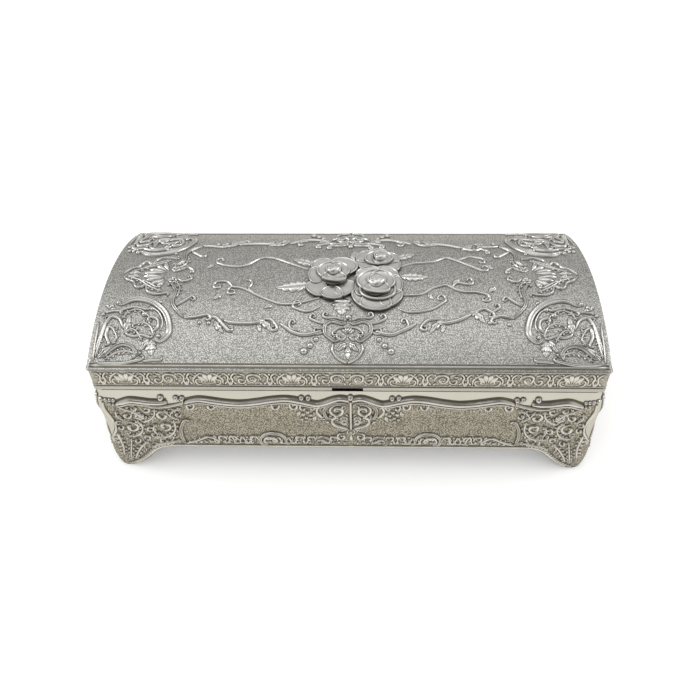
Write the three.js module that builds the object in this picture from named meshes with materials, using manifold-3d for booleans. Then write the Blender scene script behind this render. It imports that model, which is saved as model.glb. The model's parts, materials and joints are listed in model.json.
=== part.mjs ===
// Silver-plated casket: a cast box on four bracket feet, with a hinged domed lid and a velvet lining.
// Lengths are in millimetres. +X runs along the front, +Y towards the hinges and +Z up, and the origin
// is on the surface that the feet stand on, under the middle of the box.
import * as THREE from 'three';
import { mergeVertices } from 'three/addons/utils/BufferGeometryUtils.js';
import Module from 'manifold-3d';

const wasm = await Module();
wasm.setup();

// Driving sizes
const lidLength = 176;
const lidWidth = 77;
const baseHeight = 41.4;
const seamGap = 0.3;
const lidWallHeight = 10.3;
const domeRise = 9.4;
const clearance = 0.3;
const overrun = 3;

// Base casting
const baseWall = 1.9;
const baseCornerRadius = 3.2;
const footFlare = 2.4;
const footToe = 4.4;
const footLength = 24.5;
const apronHeight = 12.1;
const flangeThickness = 2;
const flangeWidth = 4;
const flangeCornerRadius = 8;

// Bottom plate and its screws
const plateRise = 0.9;
const plateThickness = 0.8;
const plateEdgeGap = 0.4;
const screwInset = 4.2;
const screwHoleRadius = 1.5;
const screwShankRadius = 1.2;
const screwHeadRadius = 2.2;
const screwHeadHeight = 1;
const screwHeadBevel = 0.3;

// Lid casting
const lidWall = 1.8;
const lidCornerRadius = 1.4;
const ledgeReach = 0.5;
const ledgeHeight = 1.4;
const lipReach = 0.3;
const lipHeight = 1.5;
const thumbSlotWidth = 10.6;
const thumbSlotHeight = 1.6;
const thumbSlotDepth = 1.3;

// Hinges
const hingeEndDistance = 33;
const hingeOffset = 0.5;
const knuckleRadius = 1.5;
const knuckleLength = 5;
const knuckleGap = 0.3;
const lidKnuckleLength = 6;
const hingeBoreRadius = 0.85;
const pinRadius = 0.6;
const pinHeadRadius = 1.1;
const pinHeadLength = 0.6;
const bracketDrop = 6.5;
const bracketRoot = 0.4;
const bracketBendShare = 1 / 2;
const bracketFaceShare = 1 / 3;

// Velvet lining
const liningThickness = 1.4;
const floorPadThickness = 2.4;
const floorPadBevel = 0.8;
const floorPadCornerRadius = 3;
const liningRimDrop = 1;
const liningEdgeRadius = 0.6;
const crownLiningThickness = 1.2;
const crownLiningInset = 0.7;
const lidLiningTopGap = 0.8;

// Raised ornament
const railWidth = 2.6;
const railReach = 1.2;
const railDrop = 3.1;
const railWave = 2.1;
const scrollWidth = 2.2;
const scrollReach = 0.9;
const ribbonWidth = 1.7;
const ribbonReach = 0.9;
const vineWidth = 1.1;
const vineReach = 0.65;
const leafWidth = 4;
const leafReach = 0.9;
const dropWidth = 2.6;
const dropReach = 0.85;
const blossomRadius = 2.2;
const blossomReach = 1.1;
const ridgeSink = 0.2;
const ornamentSink = 0.4;
const roseRadius = 8.4;
const roseHeight = 3.9;
const roseSink = 0.8;

// Places worked out from the sizes above
const halfLength = lidLength / 2;
const halfWidth = lidWidth / 2;
const lidBottom = baseHeight + seamGap;
const ledgeTop = lidBottom + lidWallHeight;
const domeRadius = (halfWidth ** 2 + domeRise ** 2) / (2 * domeRise);
const domeCentre = ledgeTop + domeRise - domeRadius;
const plateBottom = apronHeight + plateRise;
const flangeBottom = plateBottom + plateThickness + clearance;
const flangeTop = flangeBottom + flangeThickness;
const liningBottom = flangeTop + clearance;
const hingeSpread = halfLength - hingeEndDistance;
const hingeY = halfWidth + hingeOffset;
const hingeZ = baseHeight + seamGap / 2;
const hingeNotchRadius = knuckleRadius + clearance;
const knucklePitch = (lidKnuckleLength + knuckleLength) / 2 + knuckleGap;
const hingeLength = lidKnuckleLength + 2 * (knuckleLength + knuckleGap);

// Counts of facets
const cornerSteps = 3;
const wallSteps = 9;
const innerWallSteps = 4;
const archSteps = 11;
const roundSteps = 14;
const fastenerSteps = 8;
const edgeSteps = 3;
const apronSteps = 6;
const petalSides = 8;
const blossomSides = 7;
const weldShare = 1e-6;

// How much of a raised strip's length it takes to reach its full width
const ridgeTaperShare = 1 / 4;

// How the apron's edge curves between a foot's toe and its root: shares of the foot's length and of the
// apron's height
const toeBendShare = 0.44;
const toeRiseShare = 0.5;
const rootBendShare = 0.33;

const silver = { color: 0xcfccc4, metalness: 1, roughness: 0.24 };
const zincBack = { color: 0xa9a8a3, metalness: 1, roughness: 0.5 };
const steel = { color: 0xb9bbbd, metalness: 1, roughness: 0.3 };
const velvet = { color: 0x1d2140, metalness: 0, roughness: 0.95 };

// Solids and meshes

function toSolid(geometry) {
  const bare = geometry.clone();
  bare.deleteAttribute('normal');
  bare.deleteAttribute('uv');
  const merged = mergeVertices(bare, lidLength * weldShare);
  return new wasm.Manifold(new wasm.Mesh({
    numProp: 3,
    vertProperties: new Float32Array(merged.attributes.position.array),
    triVerts: new Uint32Array(merged.index.array),
  }));
}

function toGeometry(solid) {
  const mesh = solid.getMesh();
  const geometry = new THREE.BufferGeometry();
  geometry.setAttribute('position', new THREE.BufferAttribute(new Float32Array(mesh.vertProperties), 3));
  geometry.setIndex(new THREE.BufferAttribute(new Uint32Array(mesh.triVerts), 1));
  geometry.computeVertexNormals();
  return geometry;
}

function union(solids) {
  return solids.reduce((whole, solid) => whole.add(solid));
}

function piece(name, shape, look) {
  const geometry = shape.isBufferGeometry ? shape : toGeometry(shape);
  const mesh = new THREE.Mesh(geometry, new THREE.MeshStandardMaterial(look));
  mesh.name = name;
  return mesh;
}

// The faces between rings of count points each
function bands(ringCount, count) {
  const faces = [];
  for (let r = 0; r + 1 < ringCount; r++) {
    for (let i = 0; i < count; i++) {
      const a = r * count + i;
      const b = r * count + (i + 1) % count;
      faces.push(a, b, b + count, a, b + count, a + count);
    }
  }
  return faces;
}

function indexed(points, faces) {
  const geometry = new THREE.BufferGeometry().setFromPoints(points);
  geometry.setIndex(faces);
  return geometry;
}

// Skin through rings of points, each with as many points as the last, closed by a fan at both ends.
function loft(rings) {
  const count = rings[0].length;
  const faces = bands(rings.length, count);
  const last = (rings.length - 1) * count;
  for (let i = 1; i + 1 < count; i++) {
    faces.push(0, i + 1, i, last, last + i, last + i + 1);
  }
  return indexed(rings.flat(), faces);
}

// Skin through rings of points that runs out to a tip at both ends.
function spindle(first, rings, last) {
  const count = rings[0].length;
  const faces = bands(rings.length, count);
  const points = [...rings.flat(), first, last];
  const lastRing = (rings.length - 1) * count;
  for (let i = 0; i < count; i++) {
    const next = (i + 1) % count;
    faces.push(points.length - 2, next, i, points.length - 1, lastRing + i, lastRing + next);
  }
  return indexed(points, faces);
}

function roundedRing(halfX, halfY, radius, z) {
  const ring = [];
  for (let corner = 0; corner < 4; corner++) {
    const signX = corner === 0 || corner === 3 ? 1 : -1;
    const signY = corner < 2 ? 1 : -1;
    for (let i = 0; i <= cornerSteps; i++) {
      const angle = (corner + i / cornerSteps) * Math.PI / 2;
      const x = signX * (halfX - radius) + radius * Math.cos(angle);
      const y = signY * (halfY - radius) + radius * Math.sin(angle);
      ring.push(new THREE.Vector3(x, y, z));
    }
  }
  return ring;
}

function roundedPrism(halfX, halfY, radius, low, high) {
  return loft([low, high].map((z) => roundedRing(halfX, halfY, radius, z)));
}

// A rod of any outline along X, from its profile in Y and Z.
function rodAlongX(shape, from, to) {
  const geometry = new THREE.ExtrudeGeometry(shape, {
    depth: to - from, bevelEnabled: false, curveSegments: edgeSteps,
  });
  geometry.applyMatrix4(new THREE.Matrix4().makeBasis(
    new THREE.Vector3(0, 1, 0), new THREE.Vector3(0, 0, 1), new THREE.Vector3(1, 0, 0)));
  return geometry.translate(from, 0, 0);
}

function cylinderAlongX(radius, y, z, from, to) {
  const geometry = new THREE.CylinderGeometry(radius, radius, to - from, roundSteps);
  return geometry.rotateZ(-Math.PI / 2).translate((from + to) / 2, y, z);
}

function box(lowX, highX, lowY, highY, lowZ, highZ) {
  const geometry = new THREE.BoxGeometry(highX - lowX, highY - lowY, highZ - lowZ);
  return geometry.translate((lowX + highX) / 2, (lowY + highY) / 2, (lowZ + highZ) / 2);
}

// How far the base stands out from the lid's outline at each height: a swell under the rim, a waist and
// the flare of the feet. Shares of the base's height and of the foot's flare.
const ogeeShares = [
  [0, 0.62], [0.07, 0.86], [0.19, 1], [0.3, 0.8], [0.4, 0.64], [0.5, 0.54],
  [0.64, 0.58], [0.78, 0.66], [0.87, 0.48], [0.94, 0.16], [1, 0],
];
const ogee = new THREE.SplineCurve(ogeeShares.map(([height, reach]) => new THREE.Vector2(height, reach)));

function ogeeReach(z) {
  const share = THREE.MathUtils.clamp(z / baseHeight, 0, 1);
  let low = 0;
  let high = 1;
  for (let i = 0; i < 24; i++) {
    const middle = (low + high) / 2;
    if (ogee.getPoint(middle).x < share) low = middle;
    else high = middle;
  }
  return footFlare * ogee.getPoint(low).y;
}

function ogeeRing(z, inset) {
  const reach = ogeeReach(z) - inset;
  return roundedRing(halfLength + reach, halfWidth + reach, baseCornerRadius + reach, z);
}

function ogeeSkin(low, high, inset, stepCount) {
  const rings = [];
  for (let i = 0; i <= stepCount; i++) {
    rings.push(ogeeRing(low + (high - low) * i / stepCount, inset));
  }
  return rings;
}

// A raised strip through the points of a path on a surface, running out to a tip at both ends. Its section
// has a foot on each side, tops points between them and one point under the surface. place(u, v, reach)
// gives the point of the surface at u, v, raised by reach.
function ridge(path, place, { width, reach, tops }) {
  const curve = new THREE.SplineCurve(path.map(([u, v]) => new THREE.Vector2(u, v)));
  const tips = [path[0], path.at(-1)].map(([u, v]) => place(u, v, 0));
  const rings = [];
  for (let i = 1; i < path.length - 1; i++) {
    const t = i / (path.length - 1);
    const centre = curve.getPoint(t);
    const along = curve.getTangent(t);
    const swell = Math.sin(Math.min(t, 1 - t, ridgeTaperShare) / ridgeTaperShare * Math.PI / 2);
    const ring = [];
    for (let k = 0; k <= tops + 1; k++) {
      const angle = k / (tops + 1) * Math.PI;
      const side = Math.cos(angle) * width / 2 * swell;
      const rise = Math.sin(angle) * (reach + ridgeSink) * swell - ridgeSink;
      ring.push(place(centre.x - along.y * side, centre.y + along.x * side, rise));
    }
    ring.push(place(centre.x, centre.y, -ornamentSink));
    rings.push(ring);
  }
  return spindle(tips[0], rings, tips[1]);
}

function rightWayOut(geometry) {
  const solid = toSolid(geometry);
  if (solid.volume() > 0) return solid;
  const index = geometry.index.array;
  for (let i = 0; i < index.length; i += 3) {
    [index[i], index[i + 1]] = [index[i + 1], index[i]];
  }
  return toSolid(geometry);
}

// Places on the faces of the box
const onFront = (u, v, reach) => new THREE.Vector3(u, -(halfWidth + ogeeReach(v) + reach), v);
const onBack = (u, v, reach) => new THREE.Vector3(u, halfWidth + ogeeReach(v) + reach, v);
const onLeft = (u, v, reach) => new THREE.Vector3(-(halfLength + ogeeReach(v) + reach), u, v);
const onRight = (u, v, reach) => new THREE.Vector3(halfLength + ogeeReach(v) + reach, u, v);

// Place on the dome, v along its arc from the crown towards the back.
function onDome(u, v, reach) {
  const angle = v / domeRadius;
  const radius = domeRadius + reach;
  return new THREE.Vector3(u, radius * Math.sin(angle), domeCentre + radius * Math.cos(angle));
}

// The same faces from the other end, and the dome from the other side
const fromOtherEnd = (place) => (u, v, reach) => place(-u, v, reach);
const fromOtherSide = (place) => (u, v, reach) => place(u, -v, reach);

// The kinds of raised strip in the ornament
const kinds = {
  rail: { width: railWidth, reach: railReach, tops: 2 },
  scroll: { width: scrollWidth, reach: scrollReach, tops: 2 },
  ribbon: { width: ribbonWidth, reach: ribbonReach, tops: 1 },
  vine: { width: vineWidth, reach: vineReach, tops: 1 },
  leaf: { width: leafWidth, reach: leafReach, tops: 1 },
  drop: { width: dropWidth, reach: dropReach, tops: 1 },
};

// Strips from a table: each row has a kind and a path, whose points are shares of unitU and unitV.
function strips(table, place, unitU, unitV) {
  return table.map(([kind, ...path]) => (
    rightWayOut(ridge(path.map(([u, v]) => [u * unitU, v * unitV]), place, kinds[kind]))));
}

// A low round boss with a flat top. Shares of its radius and of its height.
const blossomShares = [[1, 0], [0.72, 0.9], [0.12, 1]];

function blossom(u, v, place) {
  const rings = blossomShares.map(([out, up]) => {
    const ring = [];
    for (let i = 0; i < blossomSides; i++) {
      const angle = i / blossomSides * 2 * Math.PI;
      const side = out * blossomRadius;
      const rise = up * (blossomReach + ornamentSink) - ornamentSink;
      ring.push(place(u + Math.cos(angle) * side, v + Math.sin(angle) * side, rise));
    }
    return ring;
  });
  return rightWayOut(loft(rings));
}

// Base casting

// The space under the apron between two feet, as a profile along a wall of this half length.
function apronOpening(halfWall) {
  const toe = halfWall - footToe;
  const root = halfWall - footLength;
  const toeBend = toe - footLength * toeBendShare;
  const rootBend = toe - footLength * rootBendShare;
  const toeRise = apronHeight * toeRiseShare;
  const shape = new THREE.Shape();
  shape.moveTo(-toe, -overrun);
  shape.lineTo(toe, -overrun);
  shape.lineTo(toe, 0);
  shape.bezierCurveTo(toeBend, toeRise, rootBend, apronHeight, root, apronHeight);
  shape.lineTo(-root, apronHeight);
  shape.bezierCurveTo(-rootBend, apronHeight, -toeBend, toeRise, -toe, 0);
  return shape;
}

function apronCut(halfWall, reach) {
  const geometry = new THREE.ExtrudeGeometry(apronOpening(halfWall), {
    depth: 2 * reach, bevelEnabled: false, curveSegments: apronSteps,
  });
  return geometry.rotateX(Math.PI / 2).translate(0, reach, 0);
}

// The wavy scroll rail under the rim, from the middle of a wall outwards: shares of the half wall and
// of the wave's height.
const railShares = [
  [0, 0.8], [0.03, 1], [0.07, 0.5], [0.115, 0.05], [0.19, 0.75], [0.26, 1],
  [0.34, 0.5], [0.41, 0.08], [0.5, 0.6], [0.58, 1], [0.66, 0.4],
];
const endRailShares = [[0, 1], [0.12, 0.7], [0.25, 0.1], [0.34, 0.5]];

function rails() {
  const long = [];
  const level = baseHeight - railDrop - railWave;
  for (const [shares, half, faces] of [
    [railShares, halfLength, [onFront, onBack]],
    [endRailShares, halfWidth, [onLeft, onRight]],
  ]) {
    const path = shares.map(([along, wave]) => [along * half, level + wave * railWave]);
    const mirrored = path.slice(1).reverse().map(([u, v]) => [-u, v]);
    for (const face of faces) {
      long.push(rightWayOut(ridge([...mirrored, ...path], face, kinds.rail)));
    }
  }
  return long;
}

// The scrollwork at each end of a wall, over the foot: shares of the foot's length, inwards from the
// wall's end, and of the base's height.
const footShares = [
  ['rail', [1.02, 0.89], [0.86, 0.88], [0.74, 0.88], [0.6, 0.89], [0.44, 0.9], [0.26, 0.87], [0.16, 0.86]],
  ['leaf', [0.71, 0.58], [0.57, 0.7], [0.46, 0.82]],
  ['ribbon', [0.38, 0.8], [0.29, 0.74], [0.3, 0.66], [0.42, 0.6]],
  ['ribbon', [0.14, 0.8], [0.21, 0.72], [0.2, 0.62], [0.15, 0.52]],
  ['ribbon', [0.96, 0.64], [1.07, 0.53], [1.08, 0.42], [1, 0.31]],
  ['leaf', [0.76, 0.41], [0.8, 0.5], [0.82, 0.58]],
  ['ribbon', [0.6, 0.69], [0.64, 0.56], [0.53, 0.44], [0.37, 0.42], [0.31, 0.5]],
  ['ribbon', [0.5, 0.35], [0.36, 0.32], [0.24, 0.36], [0.17, 0.45]],
  ['ribbon', [0.6, 0.27], [0.48, 0.23], [0.37, 0.15], [0.27, 0.05]],
];
const footBlossomShare = [0.48, 0.595];

// The lyre of scrolls in the middle of the front and of the back: shares of the base's height.
const lyreShares = [
  ['ribbon', [0.015, 0.87], [0.14, 0.85], [0.24, 0.79], [0.24, 0.71]],
  ['ribbon', [0.17, 0.8], [0.12, 0.86], [0.04, 0.81], [0.1, 0.74]],
  ['ribbon', [0.22, 0.73], [0.17, 0.65], [0.13, 0.57], [0.015, 0.53]],
];
const lyreBlossomShare = 0.48;

// The border along the bottom of the front and of the back: places of its arches as shares of the half
// wall, and an arch in shares of the apron's height.
const borderShares = [0.14, 0.34, 0.54];
const archShares = [['ribbon', [-0.42, 0.14], [-0.24, 0.42], [0.18, 0.46], [0.42, 0.14]]];

// The shell in the middle of each end wall: shares of the base's height.
const shellShares = [
  ['drop', [0.02, 0.52], [0.045, 0.63], [0.06, 0.71]],
  ['drop', [0.05, 0.51], [0.13, 0.57], [0.19, 0.61]],
];

function raised(onFace, half) {
  const forms = [];
  for (const place of [onFace, fromOtherEnd(onFace)]) {
    const fromEnd = (u, v, reach) => place(half - u, v, reach);
    forms.push(...strips(footShares, fromEnd, footLength, baseHeight));
    forms.push(blossom(footBlossomShare[0] * footLength, footBlossomShare[1] * baseHeight, fromEnd));
    if (half === halfLength) {
      forms.push(...strips(lyreShares, place, baseHeight, baseHeight));
      for (const share of borderShares) {
        const above = (u, v, reach) => place(share * half + u, apronHeight + v, reach);
        forms.push(...strips(archShares, above, apronHeight, apronHeight));
      }
    } else {
      forms.push(...strips(shellShares, place, baseHeight, baseHeight));
    }
  }
  forms.push(blossom(0, lyreBlossomShare * baseHeight, onFace));
  return forms;
}

function baseOrnament() {
  return [
    ...rails(), ...raised(onFront, halfLength), ...raised(onBack, halfLength),
    ...raised(onLeft, halfWidth), ...raised(onRight, halfWidth),
  ];
}

// Where a hinge's knuckles lie along X, around the middle of the hinge
function baseKnuckleSpans(centre) {
  return [-1, 1].map((side) => {
    const middle = centre + side * knucklePitch;
    return [middle - knuckleLength / 2, middle + knuckleLength / 2];
  });
}

function lidKnuckleSpan(centre) {
  return [centre - lidKnuckleLength / 2, centre + lidKnuckleLength / 2];
}

// The pin's bore through all the knuckles, with a recess for its head at each end.
function pinSpace(centre) {
  const reach = hingeLength / 2 + 2 * knuckleGap + pinHeadLength;
  const recess = pinHeadRadius + clearance;
  return union([
    cylinderAlongX(hingeBoreRadius, hingeY, hingeZ, centre - reach, centre + reach),
    cylinderAlongX(recess, hingeY, hingeZ, centre - reach, centre - hingeLength / 2),
    cylinderAlongX(recess, hingeY, hingeZ, centre + hingeLength / 2, centre + reach),
  ].map(toSolid));
}

function hingeBracket(centre) {
  const root = halfWidth - baseWall / 2;
  const face = hingeY + knuckleRadius;
  const shape = new THREE.Shape();
  shape.moveTo(root, hingeZ - bracketDrop - bracketRoot);
  shape.lineTo(face - bracketRoot, hingeZ - bracketDrop * bracketBendShare);
  shape.lineTo(face, hingeZ - bracketDrop * bracketFaceShare);
  shape.lineTo(face, hingeZ);
  shape.lineTo(root, hingeZ);
  return toSolid(rodAlongX(shape, centre - hingeLength / 2, centre + hingeLength / 2));
}

function screwPlaces() {
  const reach = ogeeReach(flangeBottom) - baseWall - screwInset;
  const places = [];
  for (const signX of [-1, 1]) {
    for (const signY of [-1, 1]) {
      places.push([signX * (halfLength + reach), signY * (halfWidth + reach)]);
    }
  }
  return places;
}

function screwHole([x, y], low, high) {
  const geometry = new THREE.CylinderGeometry(screwHoleRadius, screwHoleRadius, high - low, fastenerSteps);
  return toSolid(geometry.rotateX(Math.PI / 2).translate(x, y, (low + high) / 2));
}

function baseCasting() {
  const innerReach = ogeeReach(flangeTop) - baseWall;
  let body = toSolid(loft(ogeeSkin(0, baseHeight, 0, wallSteps)));
  body = union([body, ...baseOrnament(), hingeBracket(-hingeSpread), hingeBracket(hingeSpread)]);
  body = body.subtract(toSolid(loft([
    ogeeRing(-overrun, baseWall),
    ...ogeeSkin(0, flangeBottom, baseWall, innerWallSteps),
  ])));
  body = body.subtract(toSolid(loft([
    ...ogeeSkin(flangeTop, baseHeight, baseWall, innerWallSteps),
    ogeeRing(baseHeight + overrun, baseWall),
  ])));
  body = body.subtract(toSolid(roundedPrism(
    halfLength + innerReach - flangeWidth, halfWidth + innerReach - flangeWidth,
    flangeCornerRadius, flangeBottom - overrun, flangeTop + overrun)));
  body = body.subtract(toSolid(apronCut(halfLength, halfWidth + overrun + footFlare)));
  body = body.subtract(toSolid(apronCut(halfWidth, halfLength + overrun + footFlare).rotateZ(Math.PI / 2)));
  for (const place of screwPlaces()) {
    body = body.subtract(screwHole(place, flangeBottom - overrun, flangeTop + overrun));
  }
  for (const centre of [-hingeSpread, hingeSpread]) {
    const [from, to] = lidKnuckleSpan(centre);
    const notch = cylinderAlongX(hingeNotchRadius, hingeY, hingeZ, from - knuckleGap, to + knuckleGap);
    const knuckles = baseKnuckleSpans(centre).map((span) => (
      toSolid(cylinderAlongX(knuckleRadius, hingeY, hingeZ, ...span))));
    body = union([body, ...knuckles]).subtract(toSolid(notch)).subtract(pinSpace(centre));
  }
  return body;
}

// Lid casting

function archShape(radius, low) {
  const centre = domeCentre;
  const shape = new THREE.Shape();
  const edge = Math.acos((low - centre) / radius);
  shape.absarc(0, centre, radius, Math.PI / 2 - edge, Math.PI / 2 + edge, false);
  return shape;
}

function archSolid(radius, low, halfX) {
  const points = archShape(radius, low).getPoints(archSteps);
  return toSolid(rodAlongX(new THREE.Shape(points), -halfX, halfX));
}

function lidRing(reach, z) {
  return roundedRing(halfLength + reach, halfWidth + reach, lidCornerRadius + reach, z);
}

// The lid's wall: a lip at the bottom, a flat frieze and a ledge that the dome rises from.
function lidWallSkin(top) {
  const lipTop = lidBottom + lipHeight;
  const ledgeBottom = ledgeTop - ledgeHeight;
  return [
    lidRing(0, lidBottom),
    lidRing(lipReach, lidBottom + lipHeight / 4),
    lidRing(lipReach, lipTop - lipHeight / 4),
    lidRing(0, lipTop),
    lidRing(0, ledgeBottom),
    lidRing(ledgeReach, ledgeBottom + ledgeHeight / 4),
    lidRing(ledgeReach, ledgeTop - ledgeHeight / 4),
    lidRing(0, ledgeTop),
    lidRing(0, top),
  ];
}

// A cupped petal from its foot in: shares of its size and of its height
const petalDishShares = [[0.93, 1], [0.2, 0.7]];
const budDishShares = [[0.84, 0.9], [0.3, 1]];

// A petal opens towards turn. low and high are the heights of its inner and its outer edge.
function petal(centreU, centreV, turn, length, width, low, high, dishShares) {
  const along = [Math.cos(turn), Math.sin(turn)];
  const levels = [[1, null], ...dishShares];
  const rings = levels.map(([share, level]) => {
    const ring = [];
    for (let i = 0; i < petalSides; i++) {
      const angle = i / petalSides * 2 * Math.PI;
      const out = share * Math.cos(angle);
      const across = share * Math.sin(angle);
      const u = centreU + along[0] * out * length - along[1] * across * width;
      const v = centreV + along[1] * out * length + along[0] * across * width;
      const edge = low + (high - low) * (1 + out) / 2;
      ring.push(onDome(u, v, level === null ? -roseSink : edge * level));
    }
    return ring;
  });
  return rightWayOut(loft(rings));
}

// The three roses of the boss, each from its outer petals in, with the bud last. A rose's middle is in
// shares of the lid's half length and half width. A petal is a place, a half length and a half width in
// shares of roseRadius, the turns that it opens to, and its inner and outer height in shares of roseHeight.
const roseShares = [
  {
    along: 0.127, back: 0.23, petals: [
      [-0.08, 0.5, 0.37, 0.45, 0.28, 0.36, 0.51], [-0.55, 0.18, 0.43, 0.52, 0.42, 0.41, 0.56],
      [-0.6, -0.36, 0.4, 0.45, 0.57, 0.36, 0.54], [0.52, 0.08, 0.36, 0.43, 0.08, 0.33, 0.51],
      [0.6, -0.5, 0.36, 0.4, 0.94, 0.31, 0.49], [0.05, 0, 0.5, 0.52, 0.25, 0.62, 0.72],
      [0.04, 0.06, 0.27, 0.31, 0.19, 0.8, 0.8],
    ],
  },
  {
    along: -0.067, back: -0.08, petals: [
      [0.42, 0.8, 0.64, 0.64, 0.17, 0.56, 0.64], [-0.45, 0.94, 0.46, 0.5, 0.34, 0.41, 0.59],
      [-0.63, 0.3, 0.43, 0.56, 0.5, 0.36, 0.59], [0.51, -0.49, 0.44, 0.48, 0.87, 0.38, 0.49],
      [-0.61, -0.5, 0.45, 0.51, 0.63, 0.26, 0.51], [0.02, -0.81, 0.42, 0.49, 0.73, 0.28, 0.59],
      [0.07, 0.44, 0.55, 0.52, 0.22, 0.74, 0.85], [0.12, 0.05, 0.39, 0.54, 0.73, 0.69, 0.9],
      [0.02, 0.48, 0.32, 0.35, 0.22, 0.92, 0.9],
    ],
  },
  {
    along: 0.115, back: -0.19, petals: [
      [0.39, 0.82, 0.4, 0.5, 0.17, 0.41, 0.56], [-0.35, 0.8, 0.43, 0.52, 0.31, 0.41, 0.62],
      [0.69, 0.2, 0.38, 0.55, 0.01, 0.33, 0.56], [-0.64, 0.15, 0.35, 0.64, 0.51, 0.38, 0.59],
      [0.56, -0.58, 0.46, 0.57, 0.88, 0.28, 0.56], [-0.46, -0.7, 0.5, 0.64, 0.63, 0.28, 0.54],
      [-0.02, -0.89, 0.49, 0.55, 0.76, 0.28, 0.62], [-0.02, 0.2, 0.71, 0.74, 0.25, 0.67, 0.74],
      [-0.02, -0.13, 0.43, 0.6, 0.73, 0.69, 0.92], [-0.04, 0.28, 0.4, 0.43, 0.22, 0.87, 0.87],
    ],
  },
];

function roseBoss() {
  const forms = [];
  for (const { along, back, petals } of roseShares) {
    petals.forEach(([u, v, length, width, turns, low, high], i) => {
      const dishShares = i === petals.length - 1 ? budDishShares : petalDishShares;
      forms.push(petal(
        along * halfLength + u * roseRadius, back * halfWidth + v * roseRadius, turns * 2 * Math.PI,
        length * roseRadius, width * roseRadius, low * roseHeight, high * roseHeight, dishShares));
    });
  }
  return forms;
}

// The scrollwork of the dome. Paths are shares of the lid's half length and half width, the front being
// below zero. These repeat in the four corners and beside the middle of each end.
const cornerShares = [
  [
    'scroll', [0.9, -0.39], [0.85, -0.33], [0.785, -0.36], [0.725, -0.47],
    [0.695, -0.6], [0.7, -0.71], [0.73, -0.77],
  ],
  ['ribbon', [0.81, -0.52], [0.75, -0.55], [0.745, -0.67], [0.8, -0.74]],
  ['leaf', [0.875, -0.7], [0.835, -0.61], [0.79, -0.52]],
  ['leaf', [0.765, -0.76], [0.76, -0.84], [0.75, -0.93]],
  ['ribbon', [0.88, -0.64], [0.915, -0.54], [0.955, -0.62], [0.975, -0.87]],
  ['ribbon', [0.815, -0.91], [0.845, -0.83], [0.9, -0.83], [0.935, -0.92]],
];
const endShares = [
  ['ribbon', [0.94, -0.01], [0.9, -0.1], [0.865, -0.185], [0.825, -0.15], [0.8, -0.25], [0.73, -0.26]],
  ['ribbon', [0.71, -0.14], [0.71, -0.32], [0.69, -0.43], [0.645, -0.54]],
  ['drop', [0.75, -0.03], [0.81, -0.05], [0.88, -0.08]],
];

// The garland along the front and the back, and the pendant in its middle, for one half
const garlandShares = [
  ['ribbon', [0.648, -0.54], [0.57, -0.5], [0.51, -0.53], [0.465, -0.67]],
  ['ribbon', [0.49, -0.555], [0.42, -0.595], [0.345, -0.575], [0.295, -0.68]],
  ['ribbon', [0.27, -0.57], [0.21, -0.685], [0.15, -0.705], [0.1, -0.67]],
  ['ribbon', [0.02, -0.6], [0.08, -0.58], [0.092, -0.69], [0.05, -0.77]],
  ['ribbon', [0.05, -0.79], [0.06, -0.87], [0.035, -0.93], [0, -0.975]],
];
const pendantShares = [
  ['leaf', [0, -0.8], [0, -0.87], [0, -0.95]],
  ['drop', [0, -0.64], [0, -0.7], [0, -0.76]],
];

// Tendrils and leaves round the roses
const tendrilShares = [
  [
    'vine', [-0.11, -0.3], [-0.19, -0.37], [-0.28, -0.37], [-0.36, -0.28],
    [-0.43, -0.18], [-0.48, -0.18], [-0.5, -0.24],
  ],
  [
    'vine', [-0.17, 0.08], [-0.25, 0.19], [-0.34, 0.28], [-0.42, 0.18],
    [-0.48, 0.12], [-0.54, 0.19], [-0.59, 0.13],
  ],
  ['vine', [-0.11, -0.41], [-0.16, -0.47], [-0.21, -0.42]],
  [
    'vine', [0.2, -0.275], [0.29, -0.26], [0.34, -0.18], [0.4, -0.145],
    [0.46, -0.22], [0.54, -0.25], [0.56, -0.31],
  ],
  [
    'vine', [0.21, 0.12], [0.27, 0.18], [0.35, 0.21], [0.41, 0.28],
    [0.47, 0.21], [0.5, 0.04], [0.55, 0.07],
  ],
  ['vine', [0.2, -0.44], [0.26, -0.47], [0.34, -0.43], [0.4, -0.35]],
  ['leaf', [-0.15, -0.13], [-0.22, -0.16], [-0.3, -0.18]],
  ['leaf', [0.21, -0.015], [0.27, -0.01], [0.33, -0.025]],
  ['leaf', [-0.02, -0.3], [-0.02, -0.41], [-0.03, -0.51]],
  ['leaf', [-0.135, 0.17], [-0.185, 0.23], [-0.24, 0.27]],
  ['leaf', [0.19, 0.275], [0.23, 0.33], [0.28, 0.365]],
];

function domeOrnament() {
  const forms = [...strips(tendrilShares, onDome, halfLength, halfWidth), ...roseBoss()];
  for (const side of [onDome, fromOtherSide(onDome)]) {
    forms.push(...strips(pendantShares, side, halfLength, halfWidth));
    for (const place of [side, fromOtherEnd(side)]) {
      for (const table of [cornerShares, endShares, garlandShares]) {
        forms.push(...strips(table, place, halfLength, halfWidth));
      }
    }
  }
  return forms;
}

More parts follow.
